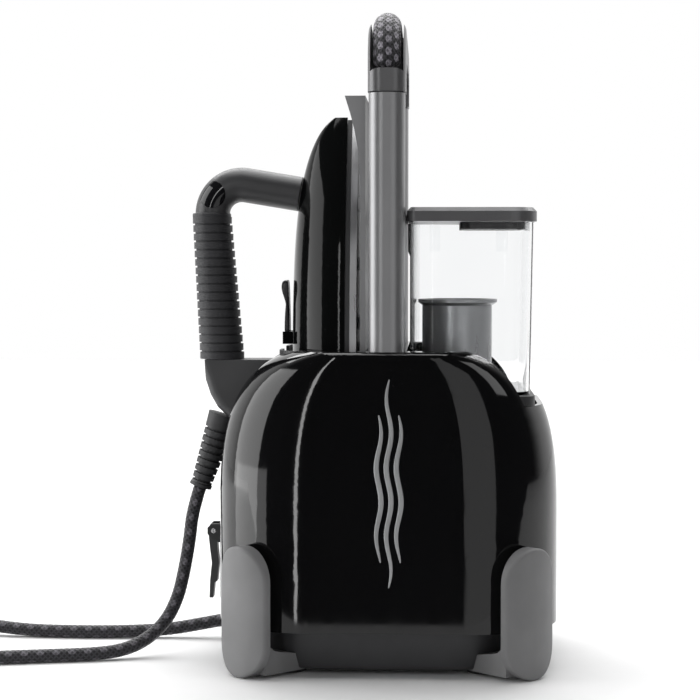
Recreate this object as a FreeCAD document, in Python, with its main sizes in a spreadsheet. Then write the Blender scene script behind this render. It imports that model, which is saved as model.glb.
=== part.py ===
import FreeCAD, Part
import math
import os
import Sketcher

# Compact steam generator iron, docked nose up on its carrying station. Millimetres, +Z up, the
# front faces -Y. The pieces are drawn in the station's frame, whose origin lies on the floor under
# the middle of the carrying arch; base_x then moves every piece, so that the whole appliance is
# centred on the origin.

SIZES = {
    "base_x": 11.71,
    # station shell and pan
    "shell_half_x": 107.5, "shell_half_y": 90.0, "shell_corner": 60.0, "shell_bottom": 28.0,
    "shell_shoulder": 95.0, "shell_top": 200.0, "shell_crown": 202.7, "shell_lean": 8.0,
    "shell_wall": 2.5, "shell_rim_round": 5.0,
    "pan_half_x": 92.0, "pan_half_y": 84.0, "pan_corner": 56.0, "pan_bottom": 5.0, "pan_draw": 9.0,
    "pan_wall": 2.5,
    # bumper feet
    "foot_out_x": 89.4, "foot_out_y": 86.0, "foot_width": 40.0, "foot_height": 81.0,
    "foot_thick": 8.0, "arm_width": 34.0, "arm_thick": 13.0, "arm_bottom": 2.6, "arm_length": 46.0,
    "sole_pad_radius": 13.0,
    # carrying arch
    "post_half_x": 11.2, "post_front": 79.0, "post_depth": 30.0, "post_corner": 9.0,
    "post_bottom": 150.0, "post_top": 359.0, "arch_half_x": 11.7, "arch_top": 407.5,
    "arch_rear_drop": 8.0, "arch_inside_top": 380.0, "arch_outer_round": 30.0,
    "channel_half_x": 10.2, "channel_end": 371.5,
    "roll_radius": 8.8, "roll_top": 411.6, "roll_bend": 24.0,
    # iron well and rest plate
    "well_left": 69.0, "well_right": 11.5, "well_half_y": 61.0, "well_floor": 122.0,
    "well_round": 27.0, "well_wall": 2.0, "well_lip": 199.4,
    "plate_left": 17.0, "plate_right": 13.6, "plate_top": 358.0, "plate_half_y": 58.0,
    "plate_flare": 26.4, "plate_flare_bottom": 318.0,
    # water tank
    "tank_left": 14.0, "tank_right": 91.0, "tank_half_y": 64.0, "tank_bottom": 172.4,
    "tank_top": 280.0, "tank_draw": 1.8, "tank_corner": 17.0, "tank_wall": 2.0,
    "seat_bottom": 166.0, "seat_half_y": 66.5, "seat_left": 12.4, "seat_right": 92.0,
    "lid_left": 12.3, "lid_right": 93.0, "lid_half_y": 66.0, "lid_top": 289.0,
    "cup_x": 43.5, "cup_radius": 23.0, "cup_rim_radius": 26.4, "cup_top": 231.0, "cup_wall": 1.6,
    "lid_pin_y": 69.5, "lid_pin_z": 283.0,
    # iron
    "sole_left": 24.0, "sole_right": 19.7, "sole_tip": 345.0, "iron_tip": 350.0,
    "iron_heel": 125.0, "iron_half_y": 52.0, "iron_bow": 190.0, "skirt_left": 27.0,
    "iron_height": 36.0,
    "arm_root_x": 58.0, "arm_root_z": 299.0, "arm_half_z": 11.2, "arm_half_y": 13.0,
    "elbow_x": 115.3, "elbow_z": 307.5, "elbow_bend": 19.0,
    "grip_top": 285.5, "grip_bottom": 192.0, "grip_top_x": 116.0, "grip_bottom_x": 109.4,
    "grip_top_half": 12.6, "grip_bottom_half": 14.4, "grip_half_y": 15.0, "grip_pitch": 5.5,
    "heel_half_y": 13.0,
    "relief_top_radius": 10.4, "relief_end_radius": 6.7, "relief_length": 49.6,
    "relief_top_x": 108.2, "relief_top_z": 155.0, "relief_lean": 18.6,
    # steam hose
    "hose_radius": 4.25, "coil_radius": 47.0, "coil_height": 17.2, "coil_width": 27.0, "coil_entry": 57.2,
    "coil_x": 334.0, "coil_y": -8.0,
}

document = FreeCAD.newDocument("SteamStation")
sheet = document.addObject("Spreadsheet::Sheet", "Sizes")
for row, (name, number) in enumerate(SIZES.items(), start=1):
    sheet.set(f"A{row}", name)
    sheet.set(f"B{row}", str(number))
    sheet.setAlias(f"B{row}", name)
document.recompute()


class Size(float):
    """A length that carries the sheet formula it comes from."""

    def __new__(cls, number, text=None):
        length = float.__new__(cls, number)
        length.text = text or format(float(number), ".6f")
        length.bound = text is not None
        return length

    def joined(self, sign, other, number):
        other = other if isinstance(other, Size) else Size(other)
        return Size(number, f"({self.text} {sign} {other.text})")

    def __add__(self, other):
        return self.joined("+", other, float(self) + float(other))

    def __sub__(self, other):
        return self.joined("-", other, float(self) - float(other))

    def __mul__(self, other):
        return self.joined("*", other, float(self) * float(other))

    def __truediv__(self, other):
        return self.joined("/", other, float(self) / float(other))

    def __pow__(self, other):
        return self.joined("^", other, float(self) ** float(other))

    def __radd__(self, other):
        return Size(other) + self

    def __rsub__(self, other):
        return Size(other) - self

    def __rmul__(self, other):
        return Size(other) * self

    def __neg__(self):
        return 0 - self


class Book:
    """Reads the sheet: book.shell_top is the value with its formula."""

    def __getattr__(self, name):
        return Size(float(sheet.get(name)), f"Sizes.{name}")


book = Book()
ZERO = Size(0.0)
exports = []


def bind(thing, path, length):
    """Tie one property of an object to the sheet."""
    if isinstance(length, Size) and length.bound:
        thing.setExpression(path, length.text)


def finish(thing, label, shift=True):
    """Name a finished sub-part and set it in the appliance's frame."""
    thing.Label = label
    if shift:
        if isinstance(thing, Part.Feature) and thing.TypeId == "Part::Feature":
            thing.Placement.Base = FreeCAD.Vector(float(book.base_x), 0, 0)
        else:
            thing.setExpression("Placement.Base.x", f"{book.base_x.text}")
    exports.append(thing)
    return thing


# ---------------------------------------------------------------------------------------- sketches

def new_body(name):
    return document.addObject("PartDesign::Body", name)


def sketch_on(body, name, role, height=ZERO):
    """A sketch on one of the body's own origin planes, lifted along the plane's normal."""
    sketch = body.newObject("Sketcher::SketchObject", name)
    plane = [item for item in body.Origin.OriginFeatures if item.Role == role][0]
    sketch.AttachmentSupport = [(plane, "")]
    sketch.MapMode = "FlatFace"
    sketch.AttachmentOffset = FreeCAD.Placement(FreeCAD.Vector(0, 0, float(height)), FreeCAD.Rotation())
    bind(sketch, "AttachmentOffset.Base.z", height)
    return sketch


def dimension(sketch, kind, where, length):
    """A driving dimension; zero distances become a point on the axis."""
    if abs(float(length)) < 1e-9 and kind in ("DistanceX", "DistanceY"):
        axis = -2 if kind == "DistanceX" else -1
        sketch.addConstraint(Sketcher.Constraint("PointOnObject", where[2], where[3], axis))
        return
    number = sketch.addConstraint(Sketcher.Constraint(kind, *where, float(length)))
    bind(sketch, f"Constraints[{number}]", length)


def outline(sketch, corners):
    """A closed polygon; every corner is dimensioned from the sketch origin."""
    count = len(corners)
    points = [FreeCAD.Vector(float(across), float(up), 0) for across, up in corners]
    for index in range(count):
        sketch.addGeometry(Part.LineSegment(points[index], points[(index + 1) % count]), False)
    for index in range(count):
        sketch.addConstraint(Sketcher.Constraint("Coincident", index, 2, (index + 1) % count, 1))
    for index, (across, up) in enumerate(corners):
        dimension(sketch, "DistanceX", (-1, 1, index, 1), across)
        dimension(sketch, "DistanceY", (-1, 1, index, 1), up)


def rectangle(sketch, low_x, high_x, low_y, high_y, rounds=(0, 0, 0, 0)):
    """An upright rectangle; each corner, from the low one round to the left, may be rounded."""
    up = FreeCAD.Vector(0, 0, 1)
    sides = [(low_x, low_y, 1, 1, 180), (high_x, low_y, -1, 1, 270), (high_x, high_y, -1, -1, 0),
             (low_x, high_y, 1, -1, 90)]
    ends = []
    for (across, rise, inward_x, inward_y, start), bend in zip(sides, rounds):
        if bend == 0:
            point = FreeCAD.Vector(float(across), float(rise), 0)
            ends.append((point, point, None))
            continue
        centre = FreeCAD.Vector(across + bend * inward_x, rise + bend * inward_y, 0)
        bow = Part.ArcOfCircle(Part.Circle(centre, up, float(bend)), math.radians(start), math.radians(start + 90))
        arc = sketch.addGeometry(bow, False)
        ends.append((sketch.getPoint(arc, 1), sketch.getPoint(arc, 2), arc))
        radius = sketch.addConstraint(Sketcher.Constraint("Radius", arc, float(bend)))
        bind(sketch, f"Constraints[{radius}]", bend)
        dimension(sketch, "DistanceX", (-1, 1, arc, 3), across + bend * inward_x)
        dimension(sketch, "DistanceY", (-1, 1, arc, 3), rise + bend * inward_y)
    lines = []
    for index in range(4):
        here, there = ends[index], ends[(index + 1) % 4]
        line = sketch.addGeometry(Part.LineSegment(here[1], there[0]), False)
        lines.append(line)
        if here[2] is not None:
            sketch.addConstraint(Sketcher.Constraint("Tangent", here[2], 2, line, 1))
        if there[2] is not None:
            sketch.addConstraint(Sketcher.Constraint("Tangent", line, 2, there[2], 1))
    for index, (across, rise, _, _, _) in enumerate(sides):
        if ends[index][2] is None:
            sketch.addConstraint(Sketcher.Constraint("Coincident", lines[index - 1], 2, lines[index], 1))
            dimension(sketch, "DistanceX", (-1, 1, lines[index], 1), across)
            dimension(sketch, "DistanceY", (-1, 1, lines[index], 1), rise)


def rounded_rectangle(sketch, half_x, half_y, corner, centre_x=0.0, centre_y=0.0):
    """A rectangle with four equal round corners about a centre."""
    low_x, high_x = centre_x - half_x, centre_x + half_x
    low_y, high_y = centre_y - half_y, centre_y + half_y
    rectangle(sketch, low_x, high_x, low_y, high_y, (corner, corner, corner, corner))


def circle(sketch, centre_x, centre_y, radius):
    centre = FreeCAD.Vector(float(centre_x), float(centre_y), 0)
    number = sketch.addGeometry(Part.Circle(centre, FreeCAD.Vector(0, 0, 1), float(radius)), False)
    dimension(sketch, "DistanceX", (-1, 1, number, 3), centre_x)
    dimension(sketch, "DistanceY", (-1, 1, number, 3), centre_y)
    index = sketch.addConstraint(Sketcher.Constraint("Radius", number, float(radius)))
    bind(sketch, f"Constraints[{index}]", radius)


# ---------------------------------------------------------------------------------------- features

def pad(body, sketch, length, symmetric=False, reverse=False, taper=0.0):
    feature = body.newObject("PartDesign::Pad", sketch.Name + "Pad")
    feature.Profile = sketch
    feature.Length = float(length)
    bind(feature, "Length", length)
    feature.Midplane = symmetric
    feature.Reversed = reverse
    feature.TaperAngle = taper
    sketch.Visibility = False
    document.recompute()
    return feature


def pocket(body, sketch, length, symmetric=False, reverse=False):
    """A cut that must take material away."""
    before = body.Shape.Volume
    feature = body.newObject("PartDesign::Pocket", sketch.Name + "Pocket")
    feature.Profile = sketch
    feature.Length = float(length)
    bind(feature, "Length", length)
    feature.Midplane = symmetric
    feature.Reversed = reverse
    document.recompute()
    if not body.Shape.Volume < before - 1:
        raise RuntimeError(f"{feature.Name} cuts nothing")
    return feature


def loft(body, name, levels, subtract=False):
    """A loft up the Z axis through rounded rectangles: (height, half x, half y, corner, x, y)."""
    sections = []
    for index, (height, half_x, half_y, corner, centre_x, centre_y) in enumerate(levels):
        sketch = sketch_on(body, f"{name}Level{index}", "XY_Plane", height)
        rounded_rectangle(sketch, half_x, half_y, corner, centre_x, centre_y)
        sections.append(sketch)
    kind = "PartDesign::SubtractiveLoft" if subtract else "PartDesign::AdditiveLoft"
    feature = body.newObject(kind, name)
    feature.Profile = sections[0]
    feature.Sections = sections[1:]
    document.recompute()
    return feature


def round_edges(body, radius, chosen, chamfer=False):
    """Fillet or chamfer the edges of the body's tip that pass the test."""
    document.recompute()
    base = body.Tip
    names = [f"Edge{index + 1}" for index, edge in enumerate(base.Shape.Edges) if chosen(edge)]
    if not names:
        raise RuntimeError(f"no edge found to round on {body.Name}")
    kind = "PartDesign::Chamfer" if chamfer else "PartDesign::Fillet"
    feature = body.newObject(kind, body.Name + ("Chamfer" if chamfer else "Fillet"))
    feature.Base = (base, names)
    setattr(feature, "Size" if chamfer else "Radius", float(radius))
    bind(feature, "Size" if chamfer else "Radius", radius)
    document.recompute()
    return feature


def flat_at(edge, axis, place, slack=0.01):
    """True when the whole edge lies in the plane axis = place."""
    box = edge.BoundBox
    low = getattr(box, axis + "Min")
    high = getattr(box, axis + "Max")
    return abs(low - float(place)) < slack and abs(high - float(place)) < slack


def upright(edge):
    return edge.BoundBox.XLength < 0.01 and edge.BoundBox.YLength < 0.01


def cylinder(name, radius, length, place, axis=(0, 0, 1)):
    thing = document.addObject("Part::Cylinder", name)
    thing.Radius = float(radius)
    thing.Height = float(length)
    bind(thing, "Radius", radius)
    bind(thing, "Height", length)
    turn = FreeCAD.Rotation(FreeCAD.Vector(0, 0, 1), FreeCAD.Vector(*axis))
    thing.Placement = FreeCAD.Placement(FreeCAD.Vector(*[float(item) for item in place]), turn)
    return thing


def box(name, low, high):
    thing = document.addObject("Part::Box", name)
    for side, low_end, high_end in zip(("Length", "Width", "Height"), low, high):
        setattr(thing, side, float(high_end) - float(low_end))
    thing.Placement.Base = FreeCAD.Vector(*[float(item) for item in low])
    return thing


def fused(name, *things):
    thing = document.addObject("Part::MultiFuse", name)
    thing.Shapes = list(things)
    thing.Refine = True
    return thing


def cut(name, base, tool):
    thing = document.addObject("Part::Cut", name)
    thing.Base = base
    thing.Tool = tool
    return thing


def solid(name, shape, label):
    thing = document.addObject("Part::Feature", name)
    thing.Shape = shape
    return finish(thing, label)


def bent_path(points, share=0.45):
    """Straight runs joined by tangent arcs, and the smallest arc radius."""
    points = [FreeCAD.Vector(*point) for point in points]
    edges = []
    radii = []
    start = points[0]
    for before, corner, after in zip(points, points[1:], points[2:]):
        inward = (before - corner).normalize()
        outward = (after - corner).normalize()
        half_turn = (math.pi - inward.getAngle(outward)) / 2
        shorter = min((before - corner).Length, (after - corner).Length)
        reach = share * shorter
        radius = reach / math.tan(half_turn)
        middle = (inward + outward).normalize()
        deep = radius / math.cos(half_turn) - radius
        first = corner + inward * reach
        last = corner + outward * reach
        edges.append(Part.LineSegment(start, first).toShape())
        edges.append(Part.Arc(first, corner + middle * deep, last).toShape())
        radii.append(radius)
        start = last
    edges.append(Part.LineSegment(start, points[-1]).toShape())
    return Part.Wire(edges), radii


def tube(name, points, radius, label):
    """A round tube along a route of straight runs and tangent arcs."""
    path, radii = bent_path(points)
    start = path.Edges[0].Vertexes[0].Point
    along = path.Edges[0].tangentAt(path.Edges[0].FirstParameter)
    ring = Part.Wire(Part.Circle(start, along, float(radius)).toShape())
    shape = path.makePipeShell([ring], True, False)
    expected = math.pi * float(radius) ** 2 * path.Length
    print(f"{label}: length {path.Length:.0f}, smallest radius {min(radii):.0f}, "
          f"volume {shape.Volume / expected:.3f} of section times length")
    return solid(name, shape, label), path.Length


# ------------------------------------------------------------------------------------------- shell

SHELL_HEIGHTS = (28.0, 45.0, 61.0, 78.0, 95.0, 111.0, 127.0, 142.0, 156.0, 168.0, 178.0, 186.0, 192.0,
                 196.5, 200.0)


def shell_level(height, inset):
    """Half sizes of the shell's plan at a height: full sides, broad shoulders, leaning front."""
    rise = (Size(height) - book.shell_shoulder) / (book.shell_crown - book.shell_shoulder)
    squeeze = (book.shell_top - inset - book.shell_bottom) / (book.shell_top - book.shell_bottom)
    place = book.shell_bottom + (Size(height) - book.shell_bottom) * squeeze
    half_x, half_y, corner = book.shell_half_x, book.shell_half_y, book.shell_corner
    if float(rise) > 0:
        fullness = (1 - rise ** 2.8) ** 0.25
        half_x = half_x * fullness
        half_y = half_y - book.shell_lean * rise ** 2
        corner = corner * fullness ** 0.8
    return place, half_x - inset, half_y - inset, corner - inset, 0.0, 0.0


def body_shell():
    """Glossy egg-cube housing, open below, with its well, tank shelf, post and heel openings."""
    body = new_body("ShellBody")
    loft(body, "ShellOuter", [shell_level(height, ZERO) for height in SHELL_HEIGHTS])
    inner = [shell_level(height, book.shell_wall) for height in SHELL_HEIGHTS]
    inner[0] = (inner[0][0] - 1,) + inner[0][1:]
    loft(body, "ShellInner", inner, subtract=True)
    round_edges(body, book.shell_rim_round, lambda edge: flat_at(edge, "Z", book.shell_top))

    well = sketch_on(body, "WellCut", "XY_Plane", 230.0)
    bend = book.well_round
    rectangle(well, -book.well_left - 0.2, -book.well_right + 0.2, -book.well_half_y - 0.2,
              book.well_half_y + 0.2, (bend, 0, 0, bend))
    pocket(body, well, 70.0)

    shelf = sketch_on(body, "TankCut", "XY_Plane", 230.0)
    rectangle(shelf, book.seat_left - 0.2, 130.0, -book.seat_half_y - 0.2, book.seat_half_y + 0.2)
    pocket(body, shelf, 230.2 - book.seat_bottom)

    notch = sketch_on(body, "HeelCut", "XZ_Plane")
    outline(notch, [(-130.0, 112.0), (-98.0, 138.0), (-56.0, 146.0), (-56.0, 215.0), (-130.0, 215.0)])
    pocket(body, notch, 44.0, symmetric=True)

    for side in (-1, 1):
        posts = sketch_on(body, f"PostCut{side + 1}", "XY_Plane", 230.0)
        middle = book.post_front - book.post_depth / 2
        rounded_rectangle(posts, book.post_half_x + 0.15, book.post_depth / 2 + 0.15,
                          book.post_corner + 0.15, 0.0, middle * side)
        pocket(body, posts, 80.0)

    back = sketch_on(body, "RearCuts", "XZ_Plane", -100.0)
    rectangle(back, -18.2, 6.2, 59.8, 92.2)
    pocket(body, back, 20.0, reverse=True)
    vents = sketch_on(body, "VentCuts", "XZ_Plane", -100.0)
    for index in range(9):
        left = -72.0 + 6.0 * index
        rectangle(vents, left, left + 2.4, 112.0, 134.0)
    pocket(body, vents, 20.0, reverse=True)
    drain = sketch_on(body, "DrainCut", "XZ_Plane", -100.0)
    circle(drain, 42.0, 74.0, 8.4)
    pocket(body, drain, 20.0, reverse=True)
    finish(body, "body_shell")


def arm_slot(name, side_x, side_y):
    """Box that clears one foot's arm through the pan's wall."""
    width = float(book.arm_width) + 0.5
    slot = box(name, (0.0, 0.0, 0.0), (60.0, width, 17.0))
    toward = FreeCAD.Vector(side_x, side_y, 0).normalize()
    across = FreeCAD.Vector(-toward.y, toward.x, 0)
    end = FreeCAD.Vector(side_x * book.foot_out_x, side_y * book.foot_out_y, 0.5)
    reach = float(book.foot_thick + book.arm_length) + 0.3
    turn = FreeCAD.Rotation(FreeCAD.Vector(0, 0, 1), math.degrees(math.atan2(side_y, side_x)))
    slot.Placement = FreeCAD.Placement(end - toward * reach - across * width / 2, turn)
    return slot


def base_pan():
    """Shallow dark tray under the shell, drawn in towards the floor, open on top."""
    body = new_body("PanBody")
    draw, wall = book.pan_draw, book.pan_wall

    def level(height, inset):
        return (height, book.pan_half_x - inset, book.pan_half_y - inset, book.pan_corner - inset, 0.0, 0.0)

    top = book.shell_bottom - 0.3
    loft(body, "PanOuter", [level(book.pan_bottom, draw), level(top, ZERO)])
    loft(body, "PanInner", [level(book.pan_bottom + wall, draw + wall), level(top + 1, wall)], subtract=True)
    round_edges(body, 2.0, lambda edge: flat_at(edge, "Z", book.pan_bottom))
    flange = sketch_on(body, "PanFlange", "XY_Plane", top)
    slack = book.shell_wall + 0.3
    rounded_rectangle(flange, book.shell_half_x - slack, book.shell_half_y - slack, book.shell_corner - slack, 0.0, 0.0)
    rounded_rectangle(flange, book.pan_half_x - wall, book.pan_half_y - wall, book.pan_corner - wall, 0.0, 0.0)
    pad(body, flange, 2.4, reverse=True)
    hole = sketch_on(body, "GlandCut", "YZ_Plane", -100.0)
    circle(hole, 40.0, 13.6, 7.1)
    pocket(body, hole, 22.0, reverse=True)
    slots = []
    for index, (side_x, side_y) in enumerate(((1, 1), (-1, 1), (-1, -1), (1, -1))):
        slots.append(arm_slot(f"ArmSlot{index}", side_x, side_y))
    finish(cut("PanSlotted", body, fused("ArmSlots", *slots)), "base_pan")


# -------------------------------------------------------------------------------------------- feet

def bumper_foot(label, side_x, side_y):
    """Stadium bumper at 45 degrees on a curved arm that runs in under the pan."""
    body = new_body(label.title().replace("_", ""))
    half = book.foot_width / 2
    bumper = sketch_on(body, body.Name + "Face", "YZ_Plane", -book.foot_thick)
    rounded_rectangle(bumper, half, book.foot_height / 2, half - 0.05, 0.0, book.foot_height / 2)
    pad(body, bumper, book.foot_thick)
    round_edges(body, 1.6, lambda edge: flat_at(edge, "X", 0.0))
    arm = sketch_on(body, body.Name + "Arm", "XZ_Plane")
    back = -book.foot_thick
    top = book.arm_bottom + book.arm_thick
    outline(arm, [(back - book.arm_length, book.arm_bottom), (back, book.arm_bottom),
                  (back, top + 14), (back - 3, top + 5), (back - 9, top), (back - book.arm_length, top - 6)])
    pad(body, arm, book.arm_width, symmetric=True)
    angle = math.degrees(math.atan2(side_y, side_x))
    body.Placement = FreeCAD.Placement(
        FreeCAD.Vector(side_x * float(book.foot_out_x), side_y * float(book.foot_out_y), 0),
        FreeCAD.Rotation(FreeCAD.Vector(0, 0, 1), angle))
    body.setExpression("Placement.Base.x", f"{book.base_x.text} + {side_x} * {book.foot_out_x.text}")
    body.setExpression("Placement.Base.y", f"{side_y} * {book.foot_out_y.text}")
    finish(body, label, shift=False)



def sole_pads():
    """Four rubber discs under the arms: what the station stands on."""
    reach = book.foot_out_x - 26
    discs = []
    for side_x in (-1, 1):
        for side_y in (-1, 1):
            place = (side_x * reach, side_y * (book.foot_out_y - 26), 0)
            name = f"SolePad{side_x + 1}{side_y + 1}"
            discs.append(cylinder(name, book.sole_pad_radius, book.arm_bottom - 0.1, place))
    finish(fused("SolePads", *discs), "sole_pads")


# ------------------------------------------------------------------------------------ carrying arch

def arch_post(label, side):
    """One leg of the arch, a tall bar with a rounded face, seated in the shell's shoulder."""
    body = new_body(label.title().replace("_", ""))
    plan = sketch_on(body, body.Name + "Plan", "XY_Plane", book.post_bottom)
    middle = (book.post_front - book.post_depth / 2) * side
    rounded_rectangle(plan, book.post_half_x, book.post_depth / 2, book.post_corner, 0.0, middle)
    pad(body, plan, book.post_top - book.post_bottom)
    round_edges(body, 0.6, lambda edge: flat_at(edge, "Z", book.post_top), chamfer=True)
    finish(body, label)


def arch_top():
    """The inverted U over both posts, with an open channel along its back for the grip roll."""
    body = new_body("ArchTop")
    side = sketch_on(body, "ArchSide", "YZ_Plane")
    front, back = -book.post_front, book.post_front
    inside = book.post_front - book.post_depth
    low = book.post_top + 0.2
    outline(side, [(front, low), (-inside, low), (-inside, book.arch_inside_top),
                   (inside, book.arch_inside_top), (inside, low), (back, low),
                   (back, book.arch_top - book.arch_rear_drop), (front, book.arch_top)])
    pad(body, side, book.arch_half_x * 2, symmetric=True)

    def along_x(edge):
        return edge.BoundBox.YLength < 0.01 and edge.BoundBox.ZLength < 0.01

    round_edges(body, book.arch_outer_round, lambda edge: along_x(edge)
                and edge.BoundBox.ZMin > float(book.arch_inside_top) + 5)
    round_edges(body, 14.0, lambda edge: along_x(edge)
                and abs(edge.BoundBox.ZMin - float(book.arch_inside_top)) < 0.01)
    round_edges(body, book.post_corner - 1.0, lambda edge: upright(edge) and edge.Length < 40
                and abs(abs(edge.BoundBox.YMin) - float(book.post_front)) < 0.01)
    channel = sketch_on(body, "ArchChannel", "YZ_Plane")
    wall = -(book.post_front - 2.0 - 2 * book.roll_radius)
    floor = book.roll_top - 2 * book.roll_radius - 0.8
    drop = book.arch_rear_drop
    outline(channel, [(front - 12, book.channel_end + 9), (wall, book.channel_end - 10), (wall, floor),
                      (-wall, floor - drop), (-wall, book.channel_end - 10), (back + 12, book.channel_end + 9),
                      (back + 12, book.arch_top + 30), (front - 12, book.arch_top + 30)])
    pocket(body, channel, book.channel_half_x * 2, symmetric=True)
    finish(body, "arch_top")


def roll_points():
    """Middle line of the grip roll: up the front leg, back along the channel, down the rear leg."""
    middle_z = book.roll_top - book.roll_radius
    front = -(book.post_front - 1.0 - book.roll_radius)
    drop = book.arch_rear_drop
    low = book.channel_end + 1.4
    return [(0, front, low), (0, front, middle_z), (0, -front, middle_z - drop), (0, -front, low)]


def rounded_route(points, bend):
    """Straight runs joined by arcs of one radius."""
    points = [FreeCAD.Vector(*[float(item) for item in point]) for point in points]
    edges, start = [], points[0]
    for before, corner, after in zip(points, points[1:], points[2:]):
        inward, outward = (before - corner).normalize(), (after - corner).normalize()
        half_turn = (math.pi - inward.getAngle(outward)) / 2
        reach = float(bend) * math.tan(half_turn)
        middle = (inward + outward).normalize() * (float(bend) / math.cos(half_turn) - float(bend))
        first, last = corner + inward * reach, corner + outward * reach
        edges.append(Part.LineSegment(start, first).toShape())
        edges.append(Part.Arc(first, corner + middle, last).toShape())
        start = last
    edges.append(Part.LineSegment(start, points[-1]).toShape())
    return Part.Wire(edges)


def pipe(path, radius):
    """A round bar swept along a wire."""
    first = path.Edges[0]
    ring = Part.Circle(first.Vertexes[0].Point, first.tangentAt(first.FirstParameter), float(radius))
    return path.makePipeShell([Part.Wire(ring.toShape())], True, False)


def grip_roll():
    solid("GripRoll", pipe(rounded_route(roll_points(), book.roll_bend), book.roll_radius), "grip_roll")


# -------------------------------------------------------------------------- iron well and rest plate

def iron_well():
    """Deep D-shaped tub in the shell's top that takes the iron's heel."""
    body = new_body("WellBody")
    left, right, half = book.well_left, book.well_right, book.well_half_y
    bend, wall = book.well_round, book.well_wall
    plan = sketch_on(body, "WellPlan", "XY_Plane", book.well_floor - wall)
    rectangle(plan, -left, -right, -half, half, (bend, 0, 0, bend))
    pad(body, plan, book.well_lip - book.well_floor + wall)
    inside = sketch_on(body, "WellInside", "XY_Plane", book.well_lip)
    rectangle(inside, -left + wall, -right - wall, -half + wall, half - wall, (bend - wall, 0, 0, bend - wall))
    pocket(body, inside, book.well_lip - book.well_floor)
    notch = sketch_on(body, "WellNotch", "XZ_Plane")
    outline(notch, [(-90.0, 140.0), (-56.0, 146.0), (-56.0, 215.0), (-90.0, 215.0)])
    pocket(body, notch, 40.0, symmetric=True)
    finish(body, "iron_well")


def rest_plate():
    """Upright plate beside the soleplate; its two side wings flare out round the iron's nose."""
    body = new_body("RestPlateBody")
    left, right, top = -book.plate_left, -book.plate_right, book.plate_top
    low, half = book.well_floor + 0.2, book.plate_half_y
    sheet_side = sketch_on(body, "RestPlateSide", "XZ_Plane")
    rectangle(sheet_side, left, right, low, top)
    pad(body, sheet_side, half * 2, symmetric=True)
    lip, deep = -book.plate_flare, book.plate_flare_bottom
    for index, start in enumerate((half - 4.4, -half)):
        wing = sketch_on(body, f"RestWing{index}", "XZ_Plane", start)
        outline(wing, [(left + 1, deep - 20), (left + 1, top), (lip, top), (lip + 0.6, top - 2), (lip + 3.4, top - 11),
                       (lip + 6.0, top - 21), (lip + 8.0, top - 32), (left - 0.2, deep - 8)])
        pad(body, wing, 4.4)
    finish(body, "iron_rest_plate")


def rest_pads():
    """Three heat resistant strips that carry the hot soleplate."""
    strips = []
    for index, height in enumerate((212.0, 250.0, 288.0)):
        low = (-book.sole_right + 0.3, -30.0, height)
        high = (-book.plate_left, 30.0, height + 8)
        strips.append(box(f"RestPad{index}", low, high))
    finish(fused("RestPads", *strips), "rest_pads")


# -------------------------------------------------------------------------------------------- tank

def tank_seat():
    """Shelf under the tank, with the socket for its outlet valve."""
    body = new_body("SeatBody")
    plan = sketch_on(body, "SeatPlan", "XY_Plane", book.seat_bottom)
    half = book.seat_half_y
    rectangle(plan, book.seat_left, book.seat_right, -half, half, (0, 12, 12, 0))
    pad(body, plan, 6.0)
    hole = sketch_on(body, "SeatHole", "XY_Plane", book.seat_bottom + 6)
    circle(hole, book.cup_x, 0.0, 9.0)
    pocket(body, hole, 6.0)
    finish(body, "tank_seat")


def tank_level(height, inset):
    """The tank's plan at a height; the sides draw in towards the bottom."""
    share = (book.tank_top - height) / (book.tank_top - book.tank_bottom)
    draw = book.tank_draw * share / 2
    half_x = (book.tank_right - book.tank_left) / 2 - draw - inset
    middle = (book.tank_right + book.tank_left) / 2 - draw
    return height, half_x, book.tank_half_y - draw - inset, book.tank_corner - inset, middle, 0.0


def water_tank():
    """Clear open-topped tank with an outlet hole over the seat's socket."""
    body = new_body("TankBody")
    low, high, wall = book.tank_bottom, book.tank_top, book.tank_wall
    loft(body, "TankOuter", [tank_level(low, 0.0), tank_level(high, 0.0)])
    loft(body, "TankInner", [tank_level(low + wall, wall), tank_level(high + 1, wall)], subtract=True)
    hole = sketch_on(body, "TankHole", "XY_Plane", low + wall)
    circle(hole, book.cup_x, 0.0, 7.2)
    pocket(body, hole, 3.0)
    finish(body, "water_tank")


def revolved(name, points, centre_x, label):
    """A turned piece: half profile (radius, height) about an upright line."""
    body = new_body(name)
    profile = sketch_on(body, name + "Profile", "XZ_Plane")
    outline(profile, [(centre_x + radius, height) for radius, height in points])
    axis = profile.addGeometry(Part.LineSegment(FreeCAD.Vector(float(centre_x), 0, 0),
                                                FreeCAD.Vector(float(centre_x), 10, 0)), True)
    dimension(profile, "DistanceX", (-1, 1, axis, 1), centre_x)
    dimension(profile, "DistanceX", (-1, 1, axis, 2), centre_x)
    dimension(profile, "DistanceY", (-1, 1, axis, 1), 0.0)
    dimension(profile, "DistanceY", (-1, 1, axis, 2), 10.0)
    feature = body.newObject("PartDesign::Revolution", name + "Turn")
    feature.Profile = profile
    feature.ReferenceAxis = (profile, ["Axis0"])
    feature.Angle = 360
    document.recompute()
    return finish(body, label)


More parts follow.
